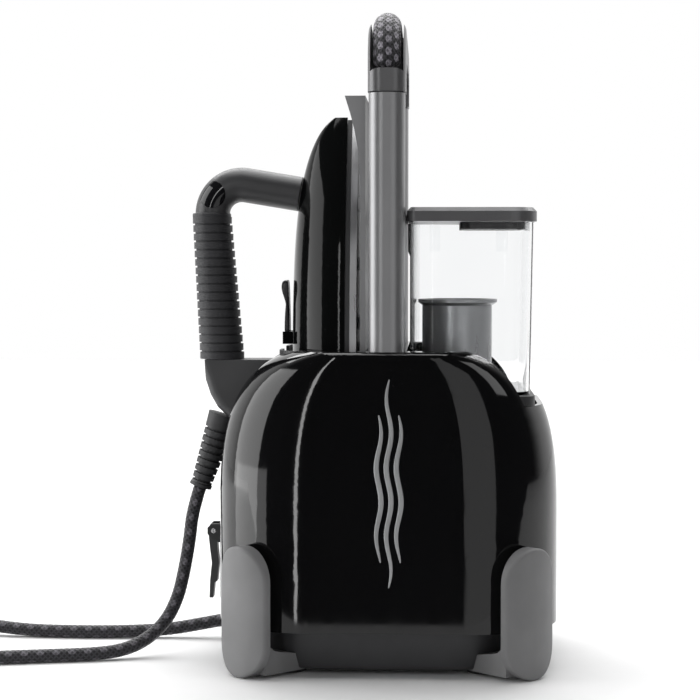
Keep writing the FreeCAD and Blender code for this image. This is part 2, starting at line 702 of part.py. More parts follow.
def tank_fittings():
    """Filter cup on the tank's floor, the outlet valve under it and the side catch."""
    floor = book.tank_bottom + book.tank_wall + 0.1
    outer, rim, wall, top = book.cup_radius, book.cup_rim_radius, book.cup_wall, book.cup_top
    revolved("FilterCup", [(8.0, floor), (outer - 1.5, floor), (outer, floor + 3), (outer, top - 4),
                           (rim, top - 2), (rim, top), (outer - wall, top), (outer - wall, floor + 3),
                           (8.0, floor + 2)], book.cup_x, "filter_cup")
    low = book.tank_bottom - 5.4
    revolved("OutletValve", [(0.0, low), (6.0, low), (6.9, low + 2), (6.9, floor + 6), (0.0, floor + 6)],
             book.cup_x, "outlet_valve")
    catch = new_body("TankCatch")
    side = sketch_on(catch, "CatchSide", "XZ_Plane")
    left = book.tank_left - 0.2
    outline(side, [(left, 258.0), (left, 279.7), (left - 1.6, 279.7), (left - 1.6, 262.0)])
    pad(catch, side, 24.0, symmetric=True)
    finish(catch, "tank_catch")


def tank_lid():
    """Chamfered lid with a hinge knuckle at the rear and a plug that drops into the tank."""
    body = new_body("LidBody")
    low, top = book.tank_top + 0.3, book.lid_top
    half = book.lid_half_y
    plan = sketch_on(body, "LidPlan", "XY_Plane", low)
    rectangle(plan, book.lid_left, book.lid_right, -half, half, (5, 17, 17, 5))
    pad(body, plan, top - low)
    round_edges(body, 2.4, lambda edge: flat_at(edge, "Z", top), chamfer=True)
    knuckle = sketch_on(body, "LidKnuckle", "YZ_Plane", 34.0)
    rectangle(knuckle, half - 4, book.lid_pin_y + 3, low, low + 6)
    pad(body, knuckle, 36.0)
    bore = sketch_on(body, "LidBore", "YZ_Plane", 32.0)
    circle(bore, book.lid_pin_y, book.lid_pin_z, 1.55)
    pocket(body, bore, 40.0, reverse=True)
    finish(body, "tank_lid")
    plug = new_body("LidPlug")
    shape = sketch_on(plug, "PlugPlan", "XY_Plane", low - 0.1)
    middle, half_x, half_y = 66.5, 21.0, 40.0
    rounded_rectangle(shape, half_x, half_y, 12.0, middle, 0.0)
    pad(plug, shape, 4.4, reverse=True)
    finish(plug, "lid_plug")


def lid_hinge():
    """Two ears on the tank's rear wall and the pin through the lid's knuckle."""
    pin = cylinder("LidPin", 1.5, 56.0, (24.0, book.lid_pin_y, book.lid_pin_z), (1, 0, 0))
    finish_pin(pin, 24.0, "lid_pin")
    for index, low_x in enumerate((25.0, 71.0)):
        ear = new_body(f"LidEar{index}")
        side = sketch_on(ear, f"EarSide{index}", "YZ_Plane", low_x)
        wall = book.tank_half_y + 0.1
        outline(side, [(wall, 262.0), (wall + 3, 268.0), (book.lid_pin_y + 3, 279.0), (book.lid_pin_y + 3, 285.4),
                       (book.lid_pin_y - 0.6, 285.4), (book.lid_pin_y - 2.6, 283.6), (book.lid_pin_y - 2.6, 279.6),
                       (wall, 279.6)])
        pad(ear, side, 8.0)
        bore = sketch_on(ear, f"EarBore{index}", "YZ_Plane", low_x - 1)
        circle(bore, book.lid_pin_y, book.lid_pin_z, 1.5)
        pocket(ear, bore, 10.0, reverse=True)
        finish(ear, "lid_hinge_ear_" + ("left", "right")[index])


def finish_pin(pin, low_x, label):
    """A pin along X: its own place plus the shift of the whole appliance."""
    pin.Label = label
    pin.setExpression("Placement.Base.x", f"{book.base_x.text} + {low_x}")
    exports.append(pin)


# -------------------------------------------------------------------------------------------- iron

def bow_half(height, tip, half_y, start):
    """Half width of the pointed sole: straight sides, then arcs that meet at the tip."""
    height, tip, half_y, start = float(height), float(tip), float(half_y), float(start)
    if height <= start:
        return half_y - 0.035 * (start - height)
    rise = tip - start
    radius = (half_y ** 2 + rise ** 2) / (2 * half_y)
    return math.sqrt(radius ** 2 - (height - start) ** 2) - (radius - half_y)


def sole_outline(inset, tip):
    """Boat-shaped outline in the YZ plane: heel line, straight sides and two arcs to the tip."""
    half, start, heel = book.iron_half_y - inset, book.iron_bow, book.iron_heel + inset
    middle = (start + tip) / 2
    low = bow_half(heel, tip, half, start)
    mid = bow_half(middle, tip, half, start)
    points = {"heel_right": (low, heel), "bow_right": (half, start), "arc_right": (mid, middle),
              "tip": (0.0, tip), "arc_left": (-mid, middle), "bow_left": (-half, start),
              "heel_left": (-low, heel)}
    at = {name: FreeCAD.Vector(0, float(across), float(up)) for name, (across, up) in points.items()}
    edges = [Part.LineSegment(at["heel_left"], at["heel_right"]).toShape(),
             Part.LineSegment(at["heel_right"], at["bow_right"]).toShape(),
             Part.Arc(at["bow_right"], at["arc_right"], at["tip"]).toShape(),
             Part.Arc(at["tip"], at["arc_left"], at["bow_left"]).toShape(),
             Part.LineSegment(at["bow_left"], at["heel_left"]).toShape()]
    return Part.Wire(edges)


def boat_plate(left, right, inset, tip):
    """A flat plate of the sole's outline between two X planes."""
    face = Part.Face(sole_outline(inset, tip))
    face.translate(FreeCAD.Vector(-float(left), 0, 0))
    return face.extrude(FreeCAD.Vector(float(left) - float(right), 0, 0))


def steam_holes():
    """Two rows of outlets that follow the sole's pointed edge, and three by the tip."""
    holes = []
    for index in range(9):
        height = 180.0 + 15.0 * index
        across = bow_half(height, book.sole_tip, book.iron_half_y, book.iron_bow) * 0.66
        holes += [(across, height), (-across, height)]
    holes.append((0.0, 325.0))
    return holes


def soleplate():
    plate = boat_plate(book.sole_left, book.sole_right, 1.0, book.sole_tip)
    for across, height in steam_holes():
        place = FreeCAD.Vector(-float(book.sole_left) - 1, across, height)
        plate = plate.cut(Part.makeCylinder(1.5, 8, place, FreeCAD.Vector(1, 0, 0)))
    solid("Soleplate", plate, "soleplate")
    skirt = boat_plate(book.skirt_left, book.sole_left + 0.05, 0.0, book.sole_tip + 2)
    solid("HeatShield", skirt, "heat_shield")


def iron_rise(height):
    """Height of the shell's ridge over the skirt along the iron."""
    share = (height - float(book.iron_heel)) / (float(book.iron_tip) + 1 - float(book.iron_heel))
    return float(book.iron_height) * math.sqrt(1 - share ** 5)


def iron_section(height, inset=0.0):
    """Half ellipse over the skirt at one height along the iron."""
    wide = bow_half(height, book.iron_tip + 1, book.iron_half_y + 1.5, book.iron_bow) - inset
    tall = iron_rise(height) - inset
    base = -float(book.skirt_left) - 0.1
    centre = FreeCAD.Vector(base, 0, height)
    if wide >= tall:
        curve = Part.Ellipse(centre + FreeCAD.Vector(0, wide, 0), centre + FreeCAD.Vector(-tall, 0, 0), centre)
        bow = Part.Arc(curve, 0, math.pi).toShape()
    else:
        curve = Part.Ellipse(centre + FreeCAD.Vector(-tall, 0, 0), centre + FreeCAD.Vector(0, wide, 0), centre)
        bow = Part.Arc(curve, -math.pi / 2, math.pi / 2).toShape()
    ends = [bow.Vertexes[0].Point, bow.Vertexes[-1].Point]
    return Part.Wire([bow, Part.LineSegment(ends[1], ends[0]).toShape()])


def iron_shell():
    """Domed glossy cover that narrows to the nose."""
    heights = (125.0, 150.0, 180.0, 210.0, 240.0, 268.0, 294.0, 315.0, 331.0, 342.0, 348.5)
    outer = Part.makeLoft([iron_section(height) for height in heights], True, False)
    inner_heights = [127.5 + (height - 125.0) * 0.955 for height in heights]
    inner = Part.makeLoft([iron_section(height, 2.4) for height in inner_heights], True, False)
    cover = outer.cut(inner)
    for low_y in (-12.2, 8.8):
        cover = cover.fuse(Part.makeBox(8.6, 3.4, 8.0, FreeCAD.Vector(-68.8, low_y, 202.0)))
    pin = Part.makeCylinder(1.2, 20.0, FreeCAD.Vector(-66.2, -10.0, 206.0), FreeCAD.Vector(0, 1, 0))
    solid("IronShell", cover.fuse(pin).removeSplitter(), "iron_shell")


def window_plug(radius):
    """A round plug through the elbow's front skin."""
    return Part.makeCylinder(radius, 8.0, FreeCAD.Vector(-114.4, -16.0, 298.6), FreeCAD.Vector(0, 1, 0))


def iron_arm():
    """Upper arm of the handle: out of the shell's back, round the elbow and down into the grip."""
    points = [(-book.arm_root_x, 0, book.arm_root_z), (-book.elbow_x, 0, book.elbow_z + 1.0),
              (-book.elbow_x, 0, book.grip_top + 0.3)]
    path = rounded_route(points, book.elbow_bend)
    first = path.Edges[0]
    along = first.tangentAt(first.FirstParameter)
    start = first.Vertexes[0].Point
    across = FreeCAD.Vector(0, 1, 0)
    curve = Part.Ellipse(start + across * float(book.arm_half_y),
                         start + along.cross(across) * float(book.arm_half_z), start)
    arm = path.makePipeShell([Part.Wire(curve.toShape())], True, False)
    solid("ElbowWindow", arm.common(window_plug(8.6)), "elbow_window")
    solid("IronArm", arm.cut(window_plug(8.75)), "handle_arm")


def grip_half(height):
    """Middle and half width of the tapered grip at a height."""
    share = (float(book.grip_top) - height) / (float(book.grip_top) - float(book.grip_bottom))
    middle = float(book.grip_top_x) + (float(book.grip_bottom_x) - float(book.grip_top_x)) * share
    half = float(book.grip_top_half) + (float(book.grip_bottom_half) - float(book.grip_top_half)) * share
    return -middle, half


def grip_disc(height, thick, proud):
    """One rounded slice of the grip."""
    middle, half = grip_half(height)
    slice_half = half - proud
    deep = float(book.grip_half_y) - proud
    curve = Part.Ellipse(FreeCAD.Vector(middle, deep, height), FreeCAD.Vector(middle + slice_half, 0, height),
                         FreeCAD.Vector(middle, 0, height))
    face = Part.Face(Part.Wire(curve.toShape()))
    return face.extrude(FreeCAD.Vector(0, 0, thick))


def grip_sleeve():
    """Soft sleeve with sixteen ribs around it."""
    bottom, pitch = float(book.grip_bottom), float(book.grip_pitch)
    ribs = []
    for index in range(17):
        low = bottom + index * pitch
        ribs.append(grip_disc(low, pitch - 1.2, 0.0))
        if index < 16:
            ribs.append(grip_disc(low + pitch - 1.3, 1.4, 1.3))
    sleeve = ribs[0].multiFuse(ribs[1:]).removeSplitter()
    solid("GripSleeve", sleeve, "grip_sleeve")


def iron_heel():
    """Funnel that joins the grip, the shell's back and the hose."""
    body = new_body("HeelBody")
    side = sketch_on(body, "HeelSide", "XZ_Plane")
    top = book.grip_bottom - 0.3
    outline(side, [(-119.5, top), (-119.2, 178.0), (-116.2, 168.8), (-111.5, 160.6), (-98.2, 148.0),
                   (-96.2, 157.5), (-93.6, 168.0), (-89.0, 176.0), (-82.0, 180.4), (-66.2, 182.4), (-66.2, top)])
    pad(body, side, book.heel_half_y * 2, symmetric=True)
    outer = float(book.heel_half_y)
    round_edges(body, 6.0, lambda edge: abs(abs(edge.BoundBox.YMin) - outer) < 0.01
                and edge.BoundBox.YLength < 0.01 and edge.BoundBox.XMax < -98.0
                and edge.BoundBox.ZMax < float(top) - 0.1)
    finish(body, "iron_heel")


def hose_relief():
    """Tapered strain relief: a collar, eight rings and the end rim."""
    body = new_body("ReliefBody")
    profile = sketch_on(body, "ReliefProfile", "XZ_Plane")
    long, wide, thin = book.relief_length, book.relief_top_radius, book.relief_end_radius
    points = [(0.0, 0.0), (wide, 0.0)]
    count = 8
    for index in range(count):
        start = 10.0 + index * 4.9
        outer = wide - (wide - thin) * ((start + 0.6) / long)
        points += [(outer, -start), (outer - 1.6, -start - 0.1), (outer - 1.7, -start - 1.5), (outer - 0.2, -start - 1.6)]
    points += [(thin, -long + 2.4), (thin + 0.6, -long + 2.0), (thin + 0.6, -long), (0.0, -long)]
    outline(profile, points)
    feature = body.newObject("PartDesign::Revolution", "ReliefTurn")
    feature.Profile = profile
    feature.ReferenceAxis = (profile, ["V_Axis"])
    feature.Angle = 360
    document.recompute()
    body.Placement = FreeCAD.Placement(
        FreeCAD.Vector(0, 0, float(book.relief_top_z)),
        FreeCAD.Rotation(FreeCAD.Vector(0, 1, 0), float(book.relief_lean)))
    body.setExpression("Placement.Base.x", f"{book.base_x.text} - {book.relief_top_x.text}")
    finish(body, "hose_relief", shift=False)


def steam_trigger():
    """Curved lever on the shell's back, with a knob above and its pin below."""
    body = new_body("TriggerBody")
    side = sketch_on(body, "TriggerSide", "XZ_Plane")
    outline(side, [(-65.2, 240.0), (-67.0, 243.5), (-71.0, 242.4), (-71.6, 238.0), (-69.4, 231.0), (-68.6, 222.0),
                   (-68.6, 210.0), (-68.6, 204.4), (-66.8, 203.2), (-64.6, 203.6), (-63.9, 206.0), (-65.0, 214.0),
                   (-65.0, 228.0)])
    pad(body, side, 17.0, symmetric=True)
    bore = sketch_on(body, "TriggerBore", "XZ_Plane", 12.0)
    circle(bore, -66.2, 206.0, 1.25)
    pocket(body, bore, 24.0)
    finish(body, "steam_trigger")


# ------------------------------------------------------------------------------------- steam hose

def hose_routes():
    """Middle lines of the two free stretches, in the station's frame."""
    lean = math.radians(float(book.relief_lean))
    reach = float(book.relief_length) + 0.8
    start = (-float(book.relief_top_x) - reach * math.sin(lean), 0.0,
             float(book.relief_top_z) - reach * math.cos(lean))
    floor = float(book.hose_radius)
    coil_x, coil_y, entry = -float(book.coil_x), float(book.coil_y), float(book.coil_entry)
    front = [start, (-129.3, 0.3, 91.8), (-131.4, 0.2, 72.2), (-134.6, -1.5, 53.0), (-138.3, -6.4, 35.1),
             (-145.4, -15.7, 20.4), (-157.5, -25.8, 10.0), (-171.8, -34.9, 5.3), (-190.7, -41.3, floor),
             (-217.3, -46.9, floor), (-248.0, -54.0, floor), (-287.0, -61.8, floor),
             (coil_x, coil_y - entry, floor)]
    rear = [(-96.3, 40.0, 13.6), (-110.0, 40.2, 12.9), (-128.0, 40.5, 9.4), (-150.0, 39.0, 5.6),
            (-178.0, 36.0, 4.4), (-212.0, 34.5, floor), (-252.0, 37.0, floor), (-292.0, 44.0, floor),
            (coil_x, coil_y + entry, floor)]
    return front, rear


def steam_hose():
    """Both free stretches of the hose, and one ring that stands for its coiled rest."""
    front, rear = hose_routes()
    tube("HoseFront", front, book.hose_radius, "hose_to_iron")
    tube("HoseRear", rear, book.hose_radius, "hose_to_station")
    coil, wide, tall = float(book.coil_radius), float(book.coil_width), float(book.coil_height)
    low = FreeCAD.Vector(-float(book.coil_x), float(book.coil_y), 0.02)
    ring = Part.makeCylinder(coil + wide / 2, tall, low).cut(Part.makeCylinder(coil - wide / 2, tall, low))
    ring = ring.makeChamfer(tall / 4, [edge for edge in ring.Edges if abs(edge.BoundBox.ZLength) < 0.01])
    solid("HoseCoil", ring, "hose_coil")


# ---------------------------------------------------------------------------------- works inside

def boiler():
    """Lying steel boiler on its heated saddle, with a safety valve and a drain neck."""
    x, z, radius = 42.0, 92.0, 40.0
    vessel = cylinder("BoilerVessel", radius, 112.0, (x, -56.0, z), (0, 1, 0))
    rounded = document.addObject("Part::Fillet", "BoilerRounded")
    rounded.Base = vessel
    document.recompute()
    rims = [index + 1 for index, edge in enumerate(vessel.Shape.Edges) if len(edge.Vertexes) == 1]
    rounded.Edges = [(index, 9.0, 9.0) for index in rims]
    inside = cylinder("BoilerInside", radius - 2.6, 102.0, (x, -51.0, z), (0, 1, 0))
    finish(cut("BoilerSkin", rounded, inside), "boiler")
    block = box("SaddleBlock", (x - 30, -42.0, 44.0), (x + 30, 42.0, 62.0))
    hollowed = cut("Saddle", block, cylinder("SaddleTool", radius + 0.2, 120.0, (x, -60.0, z), (0, 1, 0)))
    finish(hollowed, "heating_saddle")
    revolved("SafetyValve", [(0.0, 132.3), (6.0, 132.3), (6.0, 136.0), (9.0, 136.0), (9.0, 143.0), (4.0, 146.0),
                             (0.0, 146.0)], 42.0, "safety_valve")
    neck = cylinder("DrainNeck", 8.0, 30.5, (x, 56.2, 74.0), (0, 1, 0))
    finish(placed(neck), "drain_neck")
    cap = fused("DrainCap", cylinder("CapDisc", 12.0, 5.0, (x, 90.3, 74.0), (0, 1, 0)),
                box("CapBar", (x - 10.0, 95.0, 72.0), (x + 10.0, 98.6, 76.0)))
    finish(cap, "rinse_cap")


def placed(thing):
    """Wraps a placed primitive, so that the whole can be moved with the rest."""
    wrapped = document.addObject("Part::Compound", thing.Name + "Placed")
    wrapped.Links = [thing]
    return wrapped


def pump_and_valve():
    """Feed pump, solenoid valve and control board on the pan."""
    pump = fused("Pump", box("PumpBlock", (-62.0, -52.0, 34.0), (-26.0, -14.0, 70.0)),
                 cylinder("PumpMotor", 13.0, 32.0, (-44.0, -33.0, 69.0)))
    finish(pump, "feed_pump")
    valve = fused("Valve", box("ValveBlock", (-52.0, 30.0, 56.0), (-28.0, 50.0, 72.0)),
                  cylinder("ValveCoil", 11.0, 24.0, (-40.0, 40.0, 71.0)))
    finish(valve, "solenoid_valve")
    board = fused("Board", box("BoardPlate", (-64.0, 66.0, 36.0), (-4.0, 67.6, 104.0)),
                  box("BoardRelay", (-56.0, 58.0, 72.0), (-40.0, 66.2, 92.0)),
                  box("BoardHeatsink", (-30.0, 60.0, 50.0), (-12.0, 66.2, 84.0)))
    finish(board, "control_board")


def inner_pipes():
    """Silicone and brass lines from tank to pump, pump to boiler, boiler to hose gland."""
    tube("FeedPipe", [(42, 0, 165.7), (42, 0, 154), (14, -6, 146), (-4, -16, 128), (-5, -24, 100), (-8, -28, 76),
                      (-22.6, -30, 60)], 3.0, "feed_pipe")
    tube("PumpPipe", [(-44, -52.2, 50), (-44, -66, 50), (-12, -74, 54), (24, -74, 64), (42, -70, 78),
                      (42, -57.8, 84)], 3.0, "pump_pipe")
    tube("SteamPipe", [(42, 30, 132.4), (42, 30, 143), (18, 36, 146), (-2, 40, 132), (-8, 41, 114), (-40, 40, 112),
                       (-40, 40, 95.2)], 3.0, "steam_pipe")
    tube("OutletPipe", [(-40, 40, 55.8), (-40, 40, 42), (-50, 40, 24), (-79.2, 40, 14.2)], 3.0, "outlet_pipe")


def rear_fittings():
    """Power rocker in its bezel and the mains lead's gland on the rear wall."""
    wall = book.shell_half_y
    frame = cut("BezelFrame", box("BezelBlock", (-18.0, float(wall) - 4, 60.0), (6.0, float(wall) + 1.6, 92.0)),
                box("BezelHole", (-15.0, float(wall) - 5, 63.0), (3.0, float(wall) + 3, 89.0)))
    pin = cylinder("RockerPin", 1.4, 22.0, (-17.0, float(wall) - 1.5, 76.0), (1, 0, 0))
    finish(fused("Bezel", frame, pin), "switch_bezel")
    rocker = new_body("PowerRocker")
    side = sketch_on(rocker, "RockerSide", "YZ_Plane", -14.7)
    middle = 76.0
    face = float(wall)
    outline(side, [(face - 3.5, middle - 12.0), (face + 1.2, middle - 12.4), (face + 1.8, middle),
                   (face + 4.0, middle + 12.0), (face - 3.5, middle + 12.0)])
    pad(rocker, side, 17.4)
    bore = sketch_on(rocker, "RockerBore", "YZ_Plane", -20.0)
    circle(bore, face - 1.5, middle, 1.45)
    pocket(rocker, bore, 30.0, reverse=True)
    finish(rocker, "power_rocker")
    gland = fused("MainsGland", cylinder("GlandCollar", 9.5, 2.4, (-36.0, float(wall) + 0.2, 56.0), (0, 1, 0)),
                  cylinder("GlandNeck", 6.6, 8.0, (-36.0, float(wall) + 0.2, 56.0), (0, 1, 0)))
    finish(cut("MainsInlet", gland, cylinder("GlandBore", 3.6, 20.0, (-36.0, float(wall) - 2, 56.0), (0, 1, 0))),
           "mains_gland")


def hose_gland():
    """Tapered gland at the pan's side that the steam hose leaves."""
    body = document.addObject("Part::Cone", "HoseGland")
    body.Radius1, body.Radius2, body.Height = 7.0, 5.4, 16.0
    body.Placement = FreeCAD.Placement(FreeCAD.Vector(-80.0, 40.0, 13.6),
                                       FreeCAD.Rotation(FreeCAD.Vector(0, 0, 1), FreeCAD.Vector(-1, 0, 0)))
    finish(placed(body), "hose_gland")


def cord_clip():
    """Sprung clip on the left wall that holds the wound hose for carrying."""
    plate = new_body("ClipBracket")
    side = sketch_on(plate, "ClipBracketSide", "XZ_Plane")
    wall = book.shell_half_x + 0.25
    outline(side, [(-wall, 36.0), (-wall, 84.0), (-wall - 2.2, 84.0), (-wall - 2.2, 36.0)])
    pad(plate, side, 16.0, symmetric=True)
    ears = sketch_on(plate, "ClipEars", "XZ_Plane", -8.0)
    outline(ears, [(-wall - 1, 72.0), (-wall - 1, 84.0), (-116.2, 84.0), (-118.6, 81.5), (-118.6, 77.5), (-116.2, 75.0),
                   (-111.5, 72.0)])
    pad(plate, ears, 3.0)
    other = sketch_on(plate, "ClipEarsFar", "XZ_Plane", 5.0)
    outline(other, [(-wall - 1, 72.0), (-wall - 1, 84.0), (-116.2, 84.0), (-118.6, 81.5), (-118.6, 77.5), (-116.2, 75.0),
                    (-111.5, 72.0)])
    pad(plate, other, 3.0)
    bore = sketch_on(plate, "ClipBore", "XZ_Plane", 12.0)
    circle(bore, -114.8, 79.5, 1.6)
    pocket(plate, bore, 24.0, reverse=False)
    finish(plate, "cord_clip_bracket")
    lever = new_body("ClipLever")
    shape = sketch_on(lever, "ClipLeverSide", "XZ_Plane")
    outline(shape, [(-112.0, 82.2), (-117.4, 82.2), (-118.6, 79.5), (-117.6, 70.0), (-116.2, 58.0), (-117.4, 46.0),
                    (-117.8, 35.0), (-115.4, 35.0), (-114.4, 45.0), (-112.6, 46.0), (-111.6, 58.0), (-112.6, 70.0)])
    pad(lever, shape, 9.4, symmetric=True)
    hole = sketch_on(lever, "ClipLeverBore", "XZ_Plane", 12.0)
    circle(hole, -114.8, 79.5, 1.6)
    pocket(lever, hole, 24.0)
    finish(lever, "cord_clip_lever")
    pin = cylinder("ClipPin", 1.55, 16.0, (-114.8, -8.0, 79.5), (0, 1, 0))
    finish_pin(pin, -114.8, "cord_clip_pin")


def iron_inside():
    """Cast heater on the soleplate's back, the steam valve and the trigger's pin."""
    heater = boat_plate(33.0, book.skirt_left + 0.2, 14.0, book.sole_tip - 26)
    solid("IronHeater", heater, "iron_heater")
    valve = cylinder("IronSteamValve", 7.0, 22.0, (-42.5, 0.0, 226.0))
    finish(placed(valve), "iron_steam_valve")


# ------------------------------------------------------------------------------------------- build

body_shell()
base_pan()
for part_of, side_x, side_y in (("front_left", -1, -1), ("front_right", 1, -1), ("rear_left", -1, 1),
                                ("rear_right", 1, 1)):
    bumper_foot(f"foot_{part_of}", side_x, side_y)
sole_pads()
arch_post("front_post", -1)
arch_post("rear_post", 1)
arch_top()
grip_roll()
iron_well()
rest_plate()
rest_pads()
tank_seat()
water_tank()
tank_fittings()
tank_lid()
lid_hinge()
soleplate()
iron_shell()
iron_arm()
grip_sleeve()
iron_heel()
hose_relief()
steam_trigger()
steam_hose()
boiler()
pump_and_valve()
inner_pipes()
rear_fittings()
hose_gland()
cord_clip()
iron_inside()


def check_and_export():
    document.recompute()
    for thing in document.Objects:
        if "Invalid" in thing.State or "Error" in thing.State:
            raise RuntimeError(f"{thing.Label} did not build")
    os.makedirs("parts", exist_ok=True)
    for thing in exports:
        if thing.Shape.isNull() or not thing.Shape.isValid():
            raise RuntimeError(f"{thing.Label} has no valid shape")
        thing.Shape.exportStep(f"parts/{thing.Label}.step")
        bounds = thing.Shape.BoundBox
        print(f"{thing.Label}: solids {len(thing.Shape.Solids)}, volume {thing.Shape.Volume:.0f}, "
              f"x {bounds.XMin:.1f} {bounds.XMax:.1f}, y {bounds.YMin:.1f} {bounds.YMax:.1f}, "
              f"z {bounds.ZMin:.1f} {bounds.ZMax:.1f}")


check_and_export()
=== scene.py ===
import bmesh
import bpy
import math
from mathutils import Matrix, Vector
from mathutils.bvhtree import BVHTree


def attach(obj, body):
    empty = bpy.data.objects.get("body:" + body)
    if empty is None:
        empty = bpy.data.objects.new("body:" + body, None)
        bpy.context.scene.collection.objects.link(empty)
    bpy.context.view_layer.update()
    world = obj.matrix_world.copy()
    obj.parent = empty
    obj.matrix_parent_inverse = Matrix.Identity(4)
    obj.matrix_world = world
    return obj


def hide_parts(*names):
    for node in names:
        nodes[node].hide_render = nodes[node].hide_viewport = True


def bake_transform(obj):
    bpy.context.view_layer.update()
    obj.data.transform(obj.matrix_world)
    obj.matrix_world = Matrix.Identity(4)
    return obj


# Steam generator iron on its carrying station. Metres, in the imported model's frame: +Z up, the
# front faces -Y, the water tank stands on the +X side.

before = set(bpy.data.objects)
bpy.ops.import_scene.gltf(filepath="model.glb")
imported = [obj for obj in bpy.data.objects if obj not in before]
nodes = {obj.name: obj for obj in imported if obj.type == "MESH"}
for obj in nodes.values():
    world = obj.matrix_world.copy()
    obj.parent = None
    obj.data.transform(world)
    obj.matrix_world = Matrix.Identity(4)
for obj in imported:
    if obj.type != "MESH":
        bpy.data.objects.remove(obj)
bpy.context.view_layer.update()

MM = 0.001
BASE_X = 11.71
SHARP_EDGE = math.radians(50)


def at(x, y, z):
    """A point of the station's own drawing, in millimetres, as a point of the frame."""
    return Vector(((x + BASE_X) * MM, y * MM, z * MM))


# --------------------------------------------------------------------------------------- finishes

def math_node(tree, operation, first, second=None, third=None):
    """One arithmetic step; each input is a number or a socket."""
    made = tree.nodes.new("ShaderNodeMath")
    made.operation = operation
    for index, value in enumerate((first, second, third)):
        if value is None:
            continue
        if isinstance(value, (int, float)):
            made.inputs[index].default_value = value
        else:
            tree.links.new(value, made.inputs[index])
    return made.outputs[0]


def map_range(tree, value, low, high, to_low, to_high, smooth=False):
    """A value carried from one range to another."""
    made = tree.nodes.new("ShaderNodeMapRange")
    made.interpolation_type = "SMOOTHSTEP" if smooth else "LINEAR"
    tree.links.new(value, made.inputs["Value"])
    for name, number in (("From Min", low), ("From Max", high), ("To Min", to_low), ("To Max", to_high)):
        made.inputs[name].default_value = number
    return made.outputs[0]


def mix_color(tree, share, first, second):
    """A blend of two colours; each is a tuple or a socket."""
    made = tree.nodes.new("ShaderNodeMix")
    made.data_type = "RGBA"
    if isinstance(share, (int, float)):
        made.inputs[0].default_value = share
    else:
        tree.links.new(share, made.inputs[0])
    for socket, value in ((made.inputs[6], first), (made.inputs[7], second)):
        if isinstance(value, (tuple, list)):
            socket.default_value = (*value[:3], 1.0)
        else:
            tree.links.new(value, socket)
    return made.outputs[2]


def noise(tree, vector, scale, detail=2.0, roughness=0.5):
    """Cloudy noise at a scale per metre."""
    made = tree.nodes.new("ShaderNodeTexNoise")
    made.inputs["Scale"].default_value = scale
    made.inputs["Detail"].default_value = detail
    made.inputs["Roughness"].default_value = roughness
    tree.links.new(vector, made.inputs["Vector"])
    return made.outputs["Fac"]


def stretched(tree, vector, scale):
    """Coordinates scaled by its own number along each axis."""
    made = tree.nodes.new("ShaderNodeMapping")
    made.inputs["Scale"].default_value = scale
    tree.links.new(vector, made.inputs["Vector"])
    return made.outputs["Vector"]


def bump(tree, height, strength, distance):
    """A normal raised by a height pattern, distance in metres."""
    made = tree.nodes.new("ShaderNodeBump")
    made.inputs["Strength"].default_value = strength
    made.inputs["Distance"].default_value = distance
    tree.links.new(height, made.inputs["Height"])
    return made.outputs["Normal"]


def start_finish(name):
    """A new material with its tree, its shader and object coordinates."""
    finish = bpy.data.materials.new(name)
    finish.use_nodes = True
    tree = finish.node_tree
    shader = tree.nodes["Principled BSDF"]
    place = tree.nodes.new("ShaderNodeTexCoord").outputs["Object"]
    return finish, tree, shader, place


def scaled(color, by):
    """A lighter or darker version of a colour."""
    return tuple(min(1.0, part * by) for part in color)


def moulded(name, color, rough, grain_mm=0.5, depth_mm=0.03, variation=0.12, rough_spread=0.05,
            metallic=0.0, sheen=0.0):
    """Moulded or painted skin: fine grain, soft cloudiness and slightly uneven gloss."""
    finish, tree, shader, place = start_finish(name)
    shader.inputs["Metallic"].default_value = metallic
    shader.inputs["IOR"].default_value = 1.46
    shader.inputs["Sheen Weight"].default_value = sheen
    cloud = noise(tree, place, 26.0, 3.0)
    tint = mix_color(tree, map_range(tree, cloud, 0.3, 0.7, 0.0, 1.0),
                     scaled(color, 1.0 - variation), scaled(color, 1.0 + variation))
    tree.links.new(tint, shader.inputs["Base Color"])
    smear = noise(tree, stretched(tree, place, (60.0, 60.0, 14.0)), 1.0, 4.0, 0.6)
    fine = noise(tree, place, 1000.0 / grain_mm, 2.0)
    mixed = math_node(tree, "MULTIPLY_ADD", fine, 0.35, smear)
    tree.links.new(map_range(tree, mixed, 0.45, 0.9, rough - rough_spread, rough + rough_spread),
                   shader.inputs["Roughness"])
    tree.links.new(bump(tree, fine, 0.35, depth_mm * MM), shader.inputs["Normal"])
    return finish


def glossy(name, color, rough, ior=1.45):
    """Polished black skin: deep gloss with faint wiping marks and a few specks of dust."""
    finish, tree, shader, place = start_finish(name)
    shader.inputs["IOR"].default_value = ior
    cloud = noise(tree, place, 18.0, 3.0)
    dust = noise(tree, place, 900.0, 1.0)
    speck = map_range(tree, dust, 0.76, 0.8, 0.0, 0.35)
    tint = mix_color(tree, cloud, scaled(color, 0.85), scaled(color, 1.2))
    tree.links.new(mix_color(tree, speck, tint, (0.05, 0.05, 0.052)), shader.inputs["Base Color"])
    wiped = noise(tree, stretched(tree, place, (90.0, 90.0, 22.0)), 1.0, 5.0, 0.6)
    tree.links.new(map_range(tree, wiped, 0.35, 0.75, rough, rough + 0.045), shader.inputs["Roughness"])
    peel = noise(tree, place, 420.0, 1.0)
    tree.links.new(bump(tree, peel, 0.02, 0.00003), shader.inputs["Normal"])
    return finish


